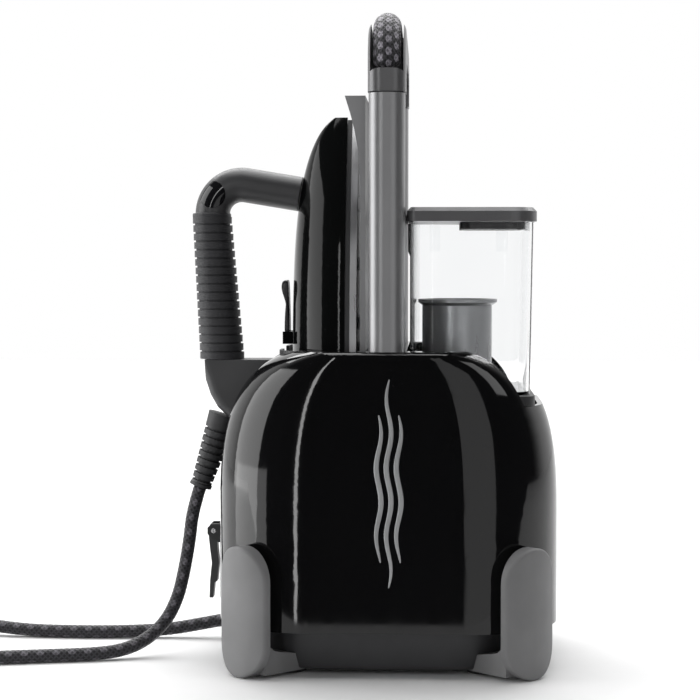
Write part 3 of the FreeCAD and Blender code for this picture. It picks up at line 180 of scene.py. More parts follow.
def brushed(name, color, rough, along=(900.0, 900.0, 12.0), relief=0.2):
    """Brushed metal with fine lines along one way."""
    finish, tree, shader, place = start_finish(name)
    shader.inputs["Metallic"].default_value = 1.0
    lines = noise(tree, stretched(tree, place, along), 1.0, 3.0, 0.6)
    cloud = noise(tree, place, 40.0, 3.0)
    tint = mix_color(tree, lines, scaled(color, 0.8), scaled(color, 1.15))
    tree.links.new(mix_color(tree, map_range(tree, cloud, 0.35, 0.7, 0.0, 0.35), tint, scaled(color, 0.7)),
                   shader.inputs["Base Color"])
    tree.links.new(map_range(tree, lines, 0.3, 0.7, rough - 0.06, rough + 0.08), shader.inputs["Roughness"])
    if relief:
        tree.links.new(bump(tree, lines, relief, 0.00003), shader.inputs["Normal"])
    return finish


def clear(name, color, rough, ior, weight=1.0):
    """Clear moulding with faint flow lines."""
    finish, tree, shader, place = start_finish(name)
    shader.inputs["Transmission Weight"].default_value = weight
    shader.inputs["IOR"].default_value = ior
    flow = noise(tree, stretched(tree, place, (30.0, 30.0, 8.0)), 1.0, 2.0)
    tree.links.new(mix_color(tree, flow, color, scaled(color, 0.96)), shader.inputs["Base Color"])
    tree.links.new(map_range(tree, flow, 0.3, 0.7, rough, rough + 0.03), shader.inputs["Roughness"])
    tree.links.new(bump(tree, flow, 0.04, 0.0002), shader.inputs["Normal"])
    return finish


FLECK_SQUARENESS = 2.4


def braided(name, columns, pitch_mm, fleck_wide, fleck_long, strands, strand_mm, dark, pale):
    """Woven cover on a tube's own UV: fine crossing yarns, with painted shade in the dips between them and a
    painted highlight on their crowns, and pale flecks in staggered columns.
    """
    finish, tree, shader, place = start_finish(name)
    shader.inputs["Sheen Weight"].default_value = 0.25
    shader.inputs["Sheen Roughness"].default_value = 0.5
    shader.inputs["IOR"].default_value = 1.4
    uv = tree.nodes.new("ShaderNodeUVMap")
    uv.uv_map = "Braid"
    parts = tree.nodes.new("ShaderNodeSeparateXYZ")
    tree.links.new(uv.outputs[0], parts.inputs[0])
    around, along = parts.outputs[0], math_node(tree, "MULTIPLY", parts.outputs[1], 1000.0)
    # crossing yarns
    turn = math_node(tree, "MULTIPLY", around, float(strands))
    rise = math_node(tree, "DIVIDE", along, strand_mm)
    yarns = [math_node(tree, "SINE", math_node(tree, "MULTIPLY", math_node(tree, way, turn, rise), math.tau))
             for way in ("ADD", "SUBTRACT")]
    weave = math_node(tree, "MAXIMUM", *yarns)
    # flecks
    column = math_node(tree, "MULTIPLY", around, float(columns))
    number = math_node(tree, "FLOOR", column)
    shift = math_node(tree, "MULTIPLY", math_node(tree, "MODULO", number, 2.0), 0.5)
    row = math_node(tree, "ADD", math_node(tree, "DIVIDE", along, pitch_mm), shift)
    reaches = []
    for cell, fleck_size in ((column, fleck_wide), (row, fleck_long)):
        off_middle = math_node(tree, "SUBTRACT", math_node(tree, "FRACT", cell), 0.5)
        share = math_node(tree, "ABSOLUTE", math_node(tree, "DIVIDE", off_middle, fleck_size))
        reaches.append(math_node(tree, "POWER", share, FLECK_SQUARENESS))
    far = math_node(tree, "ADD", *reaches)
    fleck = map_range(tree, far, 0.75, 1.2, 1.0, 0.0, smooth=True)
    uneven = noise(tree, place, 700.0, 2.0)
    fleck = math_node(tree, "MULTIPLY", fleck, map_range(tree, uneven, 0.3, 0.62, 0.55, 1.0))
    # painted shade and highlight: the yarns and the pale flecks are coloured darker in the weave's dips and
    # lighter on its crowns
    crown = map_range(tree, weave, -0.2, 1.0, 0.0, 1.0)
    yarn = mix_color(tree, crown, scaled(dark, 0.35), scaled(dark, 1.35))
    light = mix_color(tree, crown, scaled(pale, 0.5), pale)
    tree.links.new(mix_color(tree, fleck, yarn, light), shader.inputs["Base Color"])
    tree.links.new(map_range(tree, weave, -0.5, 1.0, 0.75, 0.5), shader.inputs["Roughness"])
    height = math_node(tree, "ADD", weave, math_node(tree, "MULTIPLY", uneven, 0.5))
    tree.links.new(bump(tree, height, 0.6, 0.00022), shader.inputs["Normal"])
    return finish


GLOSS_BLACK = glossy("GlossBlack", (0.0035, 0.0035, 0.0038), 0.05)
IRON_GLOSS = glossy("IronGloss", (0.0035, 0.0038, 0.0038), 0.06, 1.27)
ARCH_GREY = moulded("ArchGrey", (0.15, 0.15, 0.153), 0.36, 0.4, 0.01, 0.06, 0.03, metallic=0.6)
LID_GREY = moulded("LidGrey", (0.13, 0.13, 0.133), 0.36, 0.4, 0.015, 0.08, 0.04, metallic=0.4)
SATIN_DARK = moulded("SatinDark", (0.02, 0.02, 0.0215), 0.34, 0.4, 0.02)
HANDLE_DARK = moulded("HandleDark", (0.045, 0.045, 0.047), 0.42, 0.4, 0.02)
HEEL_DARK = moulded("HeelDark", (0.05, 0.05, 0.052), 0.46, 0.5, 0.03)
GUNMETAL = moulded("Gunmetal", (0.29, 0.29, 0.295), 0.4, 0.3, 0.006, 0.04, 0.02, metallic=0.85)
PLATE_GREY = moulded("PlateGrey", (0.3, 0.3, 0.305), 0.38, 0.4, 0.015, 0.08, 0.04, metallic=0.4)
FOOT_GREY = moulded("FootGrey", (0.17, 0.17, 0.172), 0.5, 0.7, 0.05)
MATTE_BLACK = moulded("MatteBlack", (0.018, 0.018, 0.019), 0.5, 0.6, 0.05)
PAN_GREY = moulded("PanGrey", (0.035, 0.035, 0.037), 0.42, 0.6, 0.04)
GRIP_RUBBER = moulded("GripRubber", (0.026, 0.026, 0.029), 0.6, 0.5, 0.06, sheen=0.12)
RELIEF_RUBBER = moulded("ReliefRubber", (0.03, 0.03, 0.032), 0.55, 0.5, 0.05)
PAD_RUBBER = moulded("PadRubber", (0.02, 0.02, 0.02), 0.75, 0.8, 0.08)
CUP_GREY = moulded("CupGrey", (0.17, 0.173, 0.178), 0.3, 0.9, 0.015, 0.08, 0.04, metallic=0.6)
SOLE_STEEL = brushed("SoleSteel", (0.66, 0.66, 0.67), 0.3, (60.0, 60.0, 5.0), 0.0)
BRIGHT_STEEL = brushed("BrightSteel", (0.6, 0.6, 0.61), 0.22)
VESSEL_STEEL = brushed("VesselSteel", (0.42, 0.42, 0.43), 0.35, (12.0, 700.0, 700.0))
CAST_ALLOY = moulded("CastAlloy", (0.4, 0.4, 0.41), 0.5, 1.2, 0.15, metallic=0.9)
CLEAR_TANK = clear("ClearTank", (0.98, 0.985, 0.988), 0.01, 1.17)
LENS_BLACK = glossy("LensBlack", (0.006, 0.006, 0.007), 0.03)
BOARD_GREEN = moulded("BoardGreen", (0.02, 0.11, 0.045), 0.3, 1.5, 0.1)
SILICONE = moulded("Silicone", (0.55, 0.55, 0.52), 0.45, 0.8, 0.03)
PRINT_GREY = moulded("PrintGrey", (0.36, 0.365, 0.37), 0.4, 0.5, 0.01, metallic=0.2)
PRINT_WHITE = moulded("PrintWhite", (0.6, 0.6, 0.6), 0.45, 0.5, 0.01)
BRAID_ROLL = braided("BraidRoll", 10, 6.0, 0.36, 0.32, 20, 3.0, (0.024, 0.023, 0.027), (0.36, 0.34, 0.385))
BRAID_HOSE = braided("BraidHose", 4, 10.0, 0.24, 0.24, 8, 3.4, (0.020, 0.019, 0.023), (0.14, 0.132, 0.15))

NODE_FINISH = {
    "body_shell": GLOSS_BLACK, "iron_shell": IRON_GLOSS, "arch_top": ARCH_GREY, "tank_lid": LID_GREY,
    "handle_arm": HANDLE_DARK, "tank_catch": HANDLE_DARK, "front_post": GUNMETAL, "rear_post": GUNMETAL,
    "iron_rest_plate": PLATE_GREY, "base_pan": PAN_GREY, "iron_well": MATTE_BLACK, "tank_seat": MATTE_BLACK,
    "lid_plug": MATTE_BLACK, "steam_trigger": MATTE_BLACK, "switch_bezel": MATTE_BLACK,
    "cord_clip_bracket": MATTE_BLACK, "cord_clip_lever": SATIN_DARK, "iron_heel": HEEL_DARK,
    "lid_hinge_ear_left": CLEAR_TANK, "lid_hinge_ear_right": CLEAR_TANK, "rinse_cap": MATTE_BLACK,
    "mains_gland": MATTE_BLACK, "hose_gland": RELIEF_RUBBER, "sole_pads": PAD_RUBBER,
    "grip_sleeve": GRIP_RUBBER, "hose_relief": RELIEF_RUBBER, "rest_pads": PLATE_GREY,
    "water_tank": CLEAR_TANK, "elbow_window": LENS_BLACK, "filter_cup": CUP_GREY, "outlet_valve": CUP_GREY,
    "soleplate": SOLE_STEEL, "safety_valve": BRIGHT_STEEL, "lid_pin": BRIGHT_STEEL,
    "cord_clip_pin": BRIGHT_STEEL, "steam_pipe": BRIGHT_STEEL, "iron_steam_valve": BRIGHT_STEEL,
    "boiler": VESSEL_STEEL, "drain_neck": VESSEL_STEEL, "heating_saddle": CAST_ALLOY,
    "iron_heater": CAST_ALLOY, "heat_shield": HANDLE_DARK, "feed_pump": MATTE_BLACK,
    "solenoid_valve": MATTE_BLACK, "control_board": BOARD_GREEN, "feed_pipe": SILICONE,
    "pump_pipe": SILICONE, "outlet_pipe": SILICONE, "power_rocker": LENS_BLACK,
}
for side in ("front_left", "front_right", "rear_left", "rear_right"):
    NODE_FINISH[f"foot_{side}"] = FOOT_GREY
for label, finish in NODE_FINISH.items():
    for slot in nodes[label].material_slots:
        slot.material = finish


# ------------------------------------------------------------------------------------ mesh makers

def mesh_piece(name, points, faces, finish, body, slot_name, smooth=True):
    """A mesh object at the origin that rides on a body."""
    mesh = bpy.data.meshes.new(name)
    mesh.from_pydata([tuple(point) for point in points], [], faces)
    mesh.update()
    piece = bpy.data.objects.new(name, mesh)
    bpy.context.scene.collection.objects.link(piece)
    mesh.materials.append(finish)
    mesh.polygons.foreach_set("use_smooth", [smooth] * len(mesh.polygons))
    if body:
        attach(piece, body)
    return piece


def outward(piece):
    """Turn every face of a closed mesh outwards."""
    work = bmesh.new()
    work.from_mesh(piece.data)
    bmesh.ops.recalc_face_normals(work, faces=work.faces)
    work.to_mesh(piece.data)
    work.free()


def joined_rings(rings, around=False):
    """Faces between rings of equal size; the ends are closed by a face, or joined to each other."""
    size, count, faces = len(rings[0]), len(rings), []
    for ring in range(count if around else count - 1):
        following = (ring + 1) % count
        for side in range(size):
            after = (side + 1) % size
            faces.append((ring * size + side, ring * size + after, following * size + after,
                          following * size + side))
    if not around:
        faces.append(tuple(reversed(range(size))))
        faces.append(tuple(range((count - 1) * size, count * size)))
    return [point for ring in rings for point in ring], faces


def spline_line(points, steps):
    """Points along the smooth curve that the given control points make."""
    curve = bpy.data.curves.new("RouteCurve", "CURVE")
    curve.dimensions = "3D"
    curve.resolution_u = steps
    spline = curve.splines.new("NURBS")
    spline.points.add(len(points) - 1)
    for control, point in zip(spline.points, points):
        control.co = (*point, 1.0)
    spline.order_u = 3
    spline.use_endpoint_u = True
    carrier = bpy.data.objects.new("RouteCurve", curve)
    bpy.context.scene.collection.objects.link(carrier)
    bpy.context.view_layer.update()
    mesh = bpy.data.meshes.new_from_object(carrier.evaluated_get(bpy.context.evaluated_depsgraph_get()))
    line = [vertex.co.copy() for vertex in mesh.vertices]
    bpy.data.objects.remove(carrier)
    bpy.data.meshes.remove(mesh)
    return line


def even_line(line, step):
    """The same line with points one step apart."""
    lengths = [0.0]
    for before, after in zip(line, line[1:]):
        lengths.append(lengths[-1] + (after - before).length)
    count = max(2, round(lengths[-1] / step))
    out, index = [], 0
    for number in range(count + 1):
        want = lengths[-1] * number / count
        while index < len(line) - 2 and lengths[index + 1] < want:
            index += 1
        share = (want - lengths[index]) / max(1e-9, lengths[index + 1] - lengths[index])
        out.append(line[index].lerp(line[index + 1], min(1.0, max(0.0, share))))
    return out, lengths[-1]


def braid_swell(around, along, strands, strand_mm, height):
    """How far the woven yarns stand out at a place on the tube."""
    turn, rise = around * strands, along / MM / strand_mm
    left = math.sin(math.tau * (turn + rise))
    right = math.sin(math.tau * (turn - rise))
    return height * (max(left, right) - 0.5)


def braided_tube(name, line, radius, sides, finish, body, strands, strand_mm, height, rounded_ends=0.0):
    """A tube with a woven surface and its own UV map, closed at both ends."""
    points, uvs, rings = [], [], len(line)
    tangent = (line[1] - line[0]).normalized()
    across = tangent.orthogonal().normalized()
    travelled = 0.0
    total = sum((after - before).length for before, after in zip(line, line[1:]))
    for index, centre in enumerate(line):
        if index:
            travelled += (centre - line[index - 1]).length
        ahead = line[min(index + 1, rings - 1)] - line[max(index - 1, 0)]
        ahead.normalize()
        across = (across - ahead * across.dot(ahead)).normalized()
        other = ahead.cross(across)
        inset = 1.0
        if rounded_ends:
            gap = min(travelled, total - travelled)
            if gap < rounded_ends:
                inset = math.sqrt(max(0.05, 1.0 - (1.0 - gap / rounded_ends) ** 2))
        for side in range(sides):
            share = side / sides
            out = radius * inset + braid_swell(share, travelled, strands, strand_mm, height)
            angle = share * math.tau
            points.append(centre + (across * math.cos(angle) + other * math.sin(angle)) * out)
        uvs.append(travelled)
    faces, corner_uvs = [], []
    for ring in range(rings - 1):
        for side in range(sides):
            following = (side + 1) % sides
            faces.append((ring * sides + side, ring * sides + following, (ring + 1) * sides + following,
                          (ring + 1) * sides + side))
            low, high = side / sides, (side + 1) / sides
            corner_uvs += [(low, uvs[ring]), (high, uvs[ring]), (high, uvs[ring + 1]), (low, uvs[ring + 1])]
    points += [line[0], line[-1]]
    for side in range(sides):
        following = (side + 1) % sides
        low, high = side / sides, (side + 1) / sides
        faces.append((following, side, len(points) - 2))
        corner_uvs += [(high, 0.0), (low, 0.0), (low, 0.0)]
        last = (rings - 1) * sides
        faces.append((last + side, last + following, len(points) - 1))
        corner_uvs += [(low, total), (high, total), (low, total)]
    piece = mesh_piece(name, points, faces, finish, None, None)
    layer = piece.data.uv_layers.new(name="Braid")
    for corner, uv in zip(layer.data, corner_uvs):
        corner.uv = uv
    if body:
        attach(piece, body)
    return piece


# ------------------------------------------------------------------------------------- steam hose

HOSE_RADIUS = 4.25
COIL_X, COIL_Y, COIL_INNER, COIL_PITCH = -334.0, -8.0, 36.2, 9.2
COIL_TURNS, COIL_STEPS = 4.5, 16
RELIEF_X, RELIEF_Z, RELIEF_LEAN, RELIEF_REACH = -108.2, 155.0, math.radians(18.6), 50.4


def hose_points():
    """The whole hose: relief to floor, coil, and floor to the station's gland."""
    floor = HOSE_RADIUS
    start = (RELIEF_X - RELIEF_REACH * math.sin(RELIEF_LEAN), 0.0,
             RELIEF_Z - RELIEF_REACH * math.cos(RELIEF_LEAN))
    front = [start, (-129.3, 0.3, 91.8), (-131.4, 0.2, 72.2), (-134.6, -1.5, 53.0), (-138.3, -6.4, 35.1),
             (-145.4, -15.7, 20.4), (-157.5, -25.8, 10.0), (-171.8, -34.9, 5.3), (-190.7, -41.3, floor),
             (-217.3, -46.9, floor), (-248.0, -54.0, floor), (-287.0, -61.8, floor)]
    coil = []
    for index in range(round(COIL_TURNS * COIL_STEPS) + 1):
        turns = index / COIL_STEPS
        away = turns - COIL_TURNS / 2
        radius = COIL_INNER + COIL_PITCH * math.sqrt(away * away + 0.04)
        angle = math.radians(-90.0 - 360.0 * turns)
        share = min(1.0, max(0.0, (away + 0.25) / 0.5))
        lift = 2 * floor * share * share * (3 - 2 * share)
        coil.append((COIL_X + radius * math.cos(angle), COIL_Y + radius * math.sin(angle), floor + 0.1 + lift))
    rear = [(-292.0, 46.0, 9.0), (-252.0, 38.0, floor + 0.2), (-212.0, 34.5, floor), (-178.0, 36.0, 4.4),
            (-150.0, 39.0, 5.6), (-128.0, 40.5, 9.4), (-110.0, 40.2, 12.9), (-96.3, 40.0, 13.6)]
    return [at(*point) for point in front + coil + rear]


HOSE_STEP, HOSE_SIDES, HOSE_STRANDS, HOSE_STRAND_MM, HOSE_WEAVE = 1.3, 20, 8, 3.4, 0.12

hose_line, hose_length = even_line(spline_line(hose_points(), 12), HOSE_STEP * MM)
hose = braided_tube("SteamHose", hose_line, HOSE_RADIUS * MM, HOSE_SIDES, BRAID_HOSE, None, HOSE_STRANDS,
                    HOSE_STRAND_MM, HOSE_WEAVE * MM)


def coil_tie():
    """A flat strap round the coil's turns."""
    angle, middle_radius = math.radians(200.0), 47.2
    out = Vector((math.cos(angle), math.sin(angle), 0.0))
    side = Vector((-math.sin(angle), math.cos(angle), 0.0))
    centre = at(COIL_X, COIL_Y, 0.0) + out * middle_radius * MM
    half_wide, low, high, thick, half_band, bend = 15.6, 0.15, 18.0, 1.1, 5.0, 5.0
    loop = []
    corners = ((-half_wide, low), (half_wide, low), (half_wide, high), (-half_wide, high))
    for number, (x, z) in enumerate(corners):
        inner_x = x - math.copysign(bend, x)
        inner_z = low + bend if z == low else high - bend
        first = (180.0, 270.0, 0.0, 90.0)[number]
        for step in range(7):
            turn = math.radians(first + 15.0 * step)
            loop.append((inner_x, inner_z, math.cos(turn), math.sin(turn), bend))
    points, faces = [], []
    for across in (-half_band, half_band):
        for out_by in (0.0, thick):
            for inner_x, inner_z, cos_turn, sin_turn, reach in loop:
                x = inner_x + cos_turn * (reach - thick + out_by)
                z = inner_z + sin_turn * (reach - thick + out_by)
                points.append(centre + out * x * MM + side * across * MM + Vector((0, 0, z * MM)))
    count = len(loop)
    for index in range(count):
        after = (index + 1) % count
        a, b, c, d = 0, count, 2 * count, 3 * count
        faces.append((b + index, b + after, d + after, d + index))
        faces.append((a + after, a + index, c + index, c + after))
        faces.append((a + index, a + after, b + after, b + index))
        faces.append((c + after, c + index, d + index, d + after))
    return mesh_piece("CoilTie", points, faces, MATTE_BLACK, "station", "dark_rubber")


tie = coil_tie()
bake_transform(hose)
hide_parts("hose_to_iron", "hose_to_station", "hose_coil")


# -------------------------------------------------------------------------------------- grip roll

ROLL_RADIUS, ROLL_TOP, ROLL_BEND, POST_FRONT, ROLL_DROP, ROLL_LOW = 8.8, 411.6, 24.0, 79.0, 8.0, 372.9
ROLL_STEP, ROLL_SIDES, ROLL_STRANDS, ROLL_STRAND_MM, ROLL_WEAVE, ROLL_END = 0.8, 72, 20, 3.0, 0.16, 5.0


def arc_line(corners, bend, step):
    """Straight runs joined by arcs of one radius, as close points."""
    line = [corners[0]]
    for before, corner, after in zip(corners, corners[1:], corners[2:]):
        inward, outward = (before - corner).normalized(), (after - corner).normalized()
        half_turn = (math.pi - inward.angle(outward)) / 2
        reach = bend * math.tan(half_turn)
        centre = corner + (inward + outward).normalized() * (bend / math.cos(half_turn))
        first, last = corner + inward * reach - centre, corner + outward * reach - centre
        count = 24
        for index in range(count + 1):
            share = index / count
            turned = first.slerp(last, share)
            line.append(centre + turned.normalized() * bend)
    line.append(corners[-1])
    return even_line(line, step)[0]


front_y = -(POST_FRONT - 1.0 - ROLL_RADIUS)
roll_z = ROLL_TOP - ROLL_RADIUS
roll_line = arc_line([at(0, front_y, ROLL_LOW), at(0, front_y, roll_z), at(0, -front_y, roll_z - ROLL_DROP),
                      at(0, -front_y, ROLL_LOW)], ROLL_BEND * MM, ROLL_STEP * MM)
roll = braided_tube("BraidedGrip", roll_line, (ROLL_RADIUS - 0.1) * MM, ROLL_SIDES, BRAID_ROLL, "station",
                    ROLL_STRANDS, ROLL_STRAND_MM, ROLL_WEAVE * MM, rounded_ends=ROLL_END * MM)
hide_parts("grip_roll")


# ------------------------------------------------------------------------------------ steam lever

LEVER_PIN_X, LEVER_PIN_Z, LEVER_HALF, LEVER_EDGE = -66.2, 206.0, 8.4, 2.2
SLEEVE_HALF, SLEEVE_BORE, SLEEVE_RADIUS, SLEEVE_TURNS = 8.2, 1.45, 2.2, 40


def rounded_slab(name, outline, half_wide, edge, finish, body, slot_name):
    """A slab with the given side outline, its two long edges rounded over."""
    middle = Vector((sum(x for x, z in outline), sum(z for x, z in outline))) / len(outline)
    layers, steps = [], 5
    for step in range(steps + 1):
        turn = math.pi / 2 * step / steps
        layers.append((-half_wide + edge * (1 - math.sin(turn)), edge * (1 - math.cos(turn))))
    layers = sorted(layers + [(-across, inset) for across, inset in layers])
    rings = []
    for across, inset in layers:
        ring = []
        for x, z in outline:
            toward = middle - Vector((x, z))
            shift = toward.normalized() * min(inset, toward.length * 0.4)
            ring.append(at(x + shift.x, across, z + shift.y))
        rings.append(ring)
    return mesh_piece(name, *joined_rings(rings), finish, body, slot_name)


def smooth_outline(corners, steps):
    """A closed smooth outline through the given corners."""
    out, count = [], len(corners)
    for index in range(count):
        before, start, end, after = (Vector(corners[(index + shift) % count]) for shift in (-1, 0, 1, 2))
        for step in range(steps):
            t = step / steps
            point = (start * 2 + (end - before) * t + (before * 2 - start * 5 + end * 4 - after) * t * t
                     + (start * 3 - before - end * 3 + after) * t ** 3) / 2
            out.append((point.x, point.y))
    return out


def steam_lever():
    """Thin curved blade behind the shell, with its thumb knob at the top."""
    corners = [(-65.6, 241.4), (-66.8, 243.2), (-69.2, 242.2), (-69.9, 238.4), (-68.4, 233.8), (-67.1, 229.4),
               (-67.6, 222.0), (-67.9, 214.0), (-67.8, 209.4), (-66.8, 207.9), (-65.0, 208.1), (-64.7, 214.0),
               (-65.0, 228.0)]
    lever = rounded_slab("SteamLever", smooth_outline(corners, 6), LEVER_HALF, LEVER_EDGE, SATIN_DARK,
                         "steam_lever", "matte_black")
    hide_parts("steam_trigger")


def lever_sleeve():
    """Bored sleeve at the lever's lower end, which turns on the pin."""
    rings = []
    for across, radius in ((-SLEEVE_HALF, SLEEVE_BORE), (-SLEEVE_HALF, SLEEVE_RADIUS),
                           (SLEEVE_HALF, SLEEVE_RADIUS), (SLEEVE_HALF, SLEEVE_BORE)):
        angles = [math.tau * step / SLEEVE_TURNS for step in range(SLEEVE_TURNS)]
        rings.append([at(LEVER_PIN_X + radius * math.cos(angle), across, LEVER_PIN_Z + radius * math.sin(angle))
                      for angle in angles])
    sleeve = mesh_piece("SteamLeverSleeve", *joined_rings(rings, around=True), SATIN_DARK, "steam_lever",
                        "matte_black")
    outward(sleeve)
    sleeve.data.set_sharp_from_angle(angle=SHARP_EDGE)


steam_lever()
lever_sleeve()


# ------------------------------------------------------------------------- feet, pan and grip end

FOOT_X, FOOT_Y, FOOT_THICK, FOOT_HALF, FOOT_HEIGHT = 91.8, 88.4, 9.6, 21.3, 81.0
FOOT_CROWN, FOOT_EDGE = 45.0, 1.6
ARM_REACH, ARM_HALF, ARM_BOTTOM, ARM_INTO_FOOT = 46.0, 17.0, 2.6, 0.4
PAN_HALF_X, PAN_HALF_Y, PAN_CORNER, PAN_TOP, PAN_BOTTOM = 92.0, 84.0, 56.0, 27.7, 3.2
PAN_DRAW, PAN_ROUND, PAN_WALL, PAN_FLOOR = 5.5, 3.0, 2.5, 7.5
COLLAR_X, COLLAR_HALF_X, COLLAR_HALF_Y, COLLAR_SIDES = -115.9, 12.5, 14.9, 64


def stadium(radius):
    """Outline of the bumper at a distance from its middle line: across and height."""
    low, high, turns = FOOT_HALF, FOOT_HEIGHT - FOOT_HALF, 24
    angles = [math.pi * step / turns for step in range(turns + 1)]
    upper = [(radius * math.cos(angle), high + radius * math.sin(angle)) for angle in angles]
    lower = [(-across, low + high - height) for across, height in upper]
    return upper + lower


def bumper(label, side_x, side_y):
    """Stadium bumper crowned across its face, with the arm that runs in under the pan."""
    out = Vector((side_x, side_y, 0.0)).normalized()
    along = Vector((-out.y, out.x, 0.0))
    foot = at(side_x * FOOT_X, side_y * FOOT_Y, 0.0)

    def place(across, height, depth):
        return foot + (along * across + out * depth) * MM + Vector((0, 0, height * MM))

    rings = [[place(across, height, -FOOT_THICK) for across, height in stadium(FOOT_HALF)]]
    for inset in (0.0, 0.12, 0.4, 0.8, 1.2, 1.6, 4.0, 7.0, 10.0, 13.0, 16.0, 19.0, 21.1):
        gap = max(0.0, FOOT_EDGE - inset)
        edge = FOOT_EDGE - math.sqrt(FOOT_EDGE ** 2 - gap ** 2)
        rings.append([place(across, height, -edge - FOOT_CROWN + math.sqrt(FOOT_CROWN ** 2 - across ** 2))
                      for across, height in stadium(FOOT_HALF - inset)])
    face = mesh_piece(f"Bumper_{label}", *joined_rings(rings), FOOT_GREY, "station", "foot_grey")
    outward(face)
    face.data.set_sharp_from_angle(angle=SHARP_EDGE)
    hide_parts(f"foot_{label}")
    back = ARM_INTO_FOOT - FOOT_THICK
    profile = [(back - ARM_REACH, ARM_BOTTOM), (back, ARM_BOTTOM), (back, 30.0), (back - 1.4, 24.0),
               (back - 3.6, 20.0), (back - 7.2, 17.0), (back - 12.4, 15.6), (back - ARM_REACH, 9.6)]
    sides = [[place(across, height, depth) for depth, height in profile]
             for across in (-ARM_HALF, -16.2, 16.2, ARM_HALF)]
    arm = mesh_piece(f"BumperArm_{label}", *joined_rings(sides), FOOT_GREY, "station", "foot_grey",
                     smooth=False)
    outward(arm)


def rounded_ring(inset, height):
    """One level of the pan's rounded outline."""
    corner = PAN_CORNER - inset
    points = []
    for turn, sign_x, sign_y in ((0, 1, 1), (90, -1, 1), (180, -1, -1), (270, 1, -1)):
        for step in range(17):
            angle = math.radians(turn + 90 * step / 16)
            points.append(at(sign_x * (PAN_HALF_X - inset - corner) + corner * math.cos(angle),
                             sign_y * (PAN_HALF_Y - inset - corner) + corner * math.sin(angle), height))
    return points


def pan_tray():
    """Shallow tray with a rounded lower edge, close to the floor."""
    levels = []
    for step in range(6):
        turn = math.pi / 2 * step / 5
        levels.append((PAN_DRAW + PAN_ROUND * (1 - math.sin(turn)),
                       PAN_BOTTOM + PAN_ROUND * (1 - math.cos(turn))))
    levels += [(PAN_DRAW * 0.45, 16.0), (0.0, PAN_TOP), (PAN_WALL, PAN_TOP), (PAN_DRAW + PAN_WALL, PAN_FLOOR)]
    rings = [rounded_ring(inset, height) for inset, height in levels]
    tray = mesh_piece("PanTray", *joined_rings(rings), PAN_GREY, "station", "matte_black")
    outward(tray)
    tray.data.set_sharp_from_angle(angle=SHARP_EDGE)
    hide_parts("base_pan")


def grip_collar():
    """Soft ring that closes the sleeve against the elbow."""
    rings, angles = [], [math.tau * step / COLLAR_SIDES for step in range(COLLAR_SIDES)]
    for height, inset in ((283.6, 1.2), (283.9, 0.2), (284.4, 0.0), (285.9, 0.0), (286.5, 0.3), (286.8, 1.4)):
        half_x, half_y = COLLAR_HALF_X - inset, COLLAR_HALF_Y - inset
        rings.append([at(COLLAR_X + half_x * math.cos(angle), half_y * math.sin(angle), height)
                      for angle in angles])
    outward(mesh_piece("GripCollar", *joined_rings(rings), GRIP_RUBBER, "iron", "dark_rubber"))


for label, side_x, side_y in (("front_left", -1, -1), ("front_right", 1, -1), ("rear_left", -1, 1),
                              ("rear_right", 1, 1)):
    bumper(label, side_x, side_y)
pan_tray()
grip_collar()


# ----------------------------------------------------------------------------- mark on the front

WAVE_SWAY, WAVE_PERIOD, WAVE_HALF, WAVE_LOW = 1.5, 42.0, 1.6, 56.5
WAVES = ((-4.3, 72.0, 162.0), (1.8, WAVE_LOW, 183.6), (7.9, 72.0, 162.0))
ROCKER_X, ROCKER_ON_Z, ROCKER_OFF_Z, PRINT_SUNK, PRINT_PROUD = -6.0, 82.0, 70.0, -0.05, 0.12


def surface_of(label):
    """The surface of one node, for laying a print on it."""
    mesh = nodes[label].data
    return BVHTree.FromPolygons([vertex.co.copy() for vertex in mesh.vertices],
                                [tuple(face.vertices) for face in mesh.polygons])


shell_surface = surface_of("body_shell")


def on_front(x, z, proud):
    """The point of the shell's front face at that place, moved out by proud."""
    start = at(x, -200.0, z)
    hit, normal = shell_surface.ray_cast(start, Vector((0, 1, 0)))[:2]
    if normal.y > 0:
        normal = -normal
    return hit + normal * proud * MM


def steam_wave(index, middle_x, low, high):
    """One rising wave stroke, thick in the middle and drawn out at its ends."""
    steps, phase, rings = 150, math.tau * (low - WAVE_LOW) / WAVE_PERIOD, []
    for step in range(steps + 1):
        share = step / steps
        z = low + (high - low) * share
        x = middle_x + WAVE_SWAY * math.sin(math.tau * (z - low) / WAVE_PERIOD + phase)
        width = WAVE_HALF * (0.12 + 0.88 * math.sin(math.pi * share) ** 0.45)
        section = ((-1, -0.06), (-1, 0.2), (-0.4, 0.24), (0.4, 0.24), (1, 0.2), (1, -0.06))
        rings.append([on_front(x + across * width, z, proud) for across, proud in section])
    mesh_piece(f"SteamWave_{index}", *joined_rings(rings), PRINT_GREY, "station", "foot_grey")


for index, (middle_x, low, high) in enumerate(WAVES):
    steam_wave(index, middle_x, low, high)


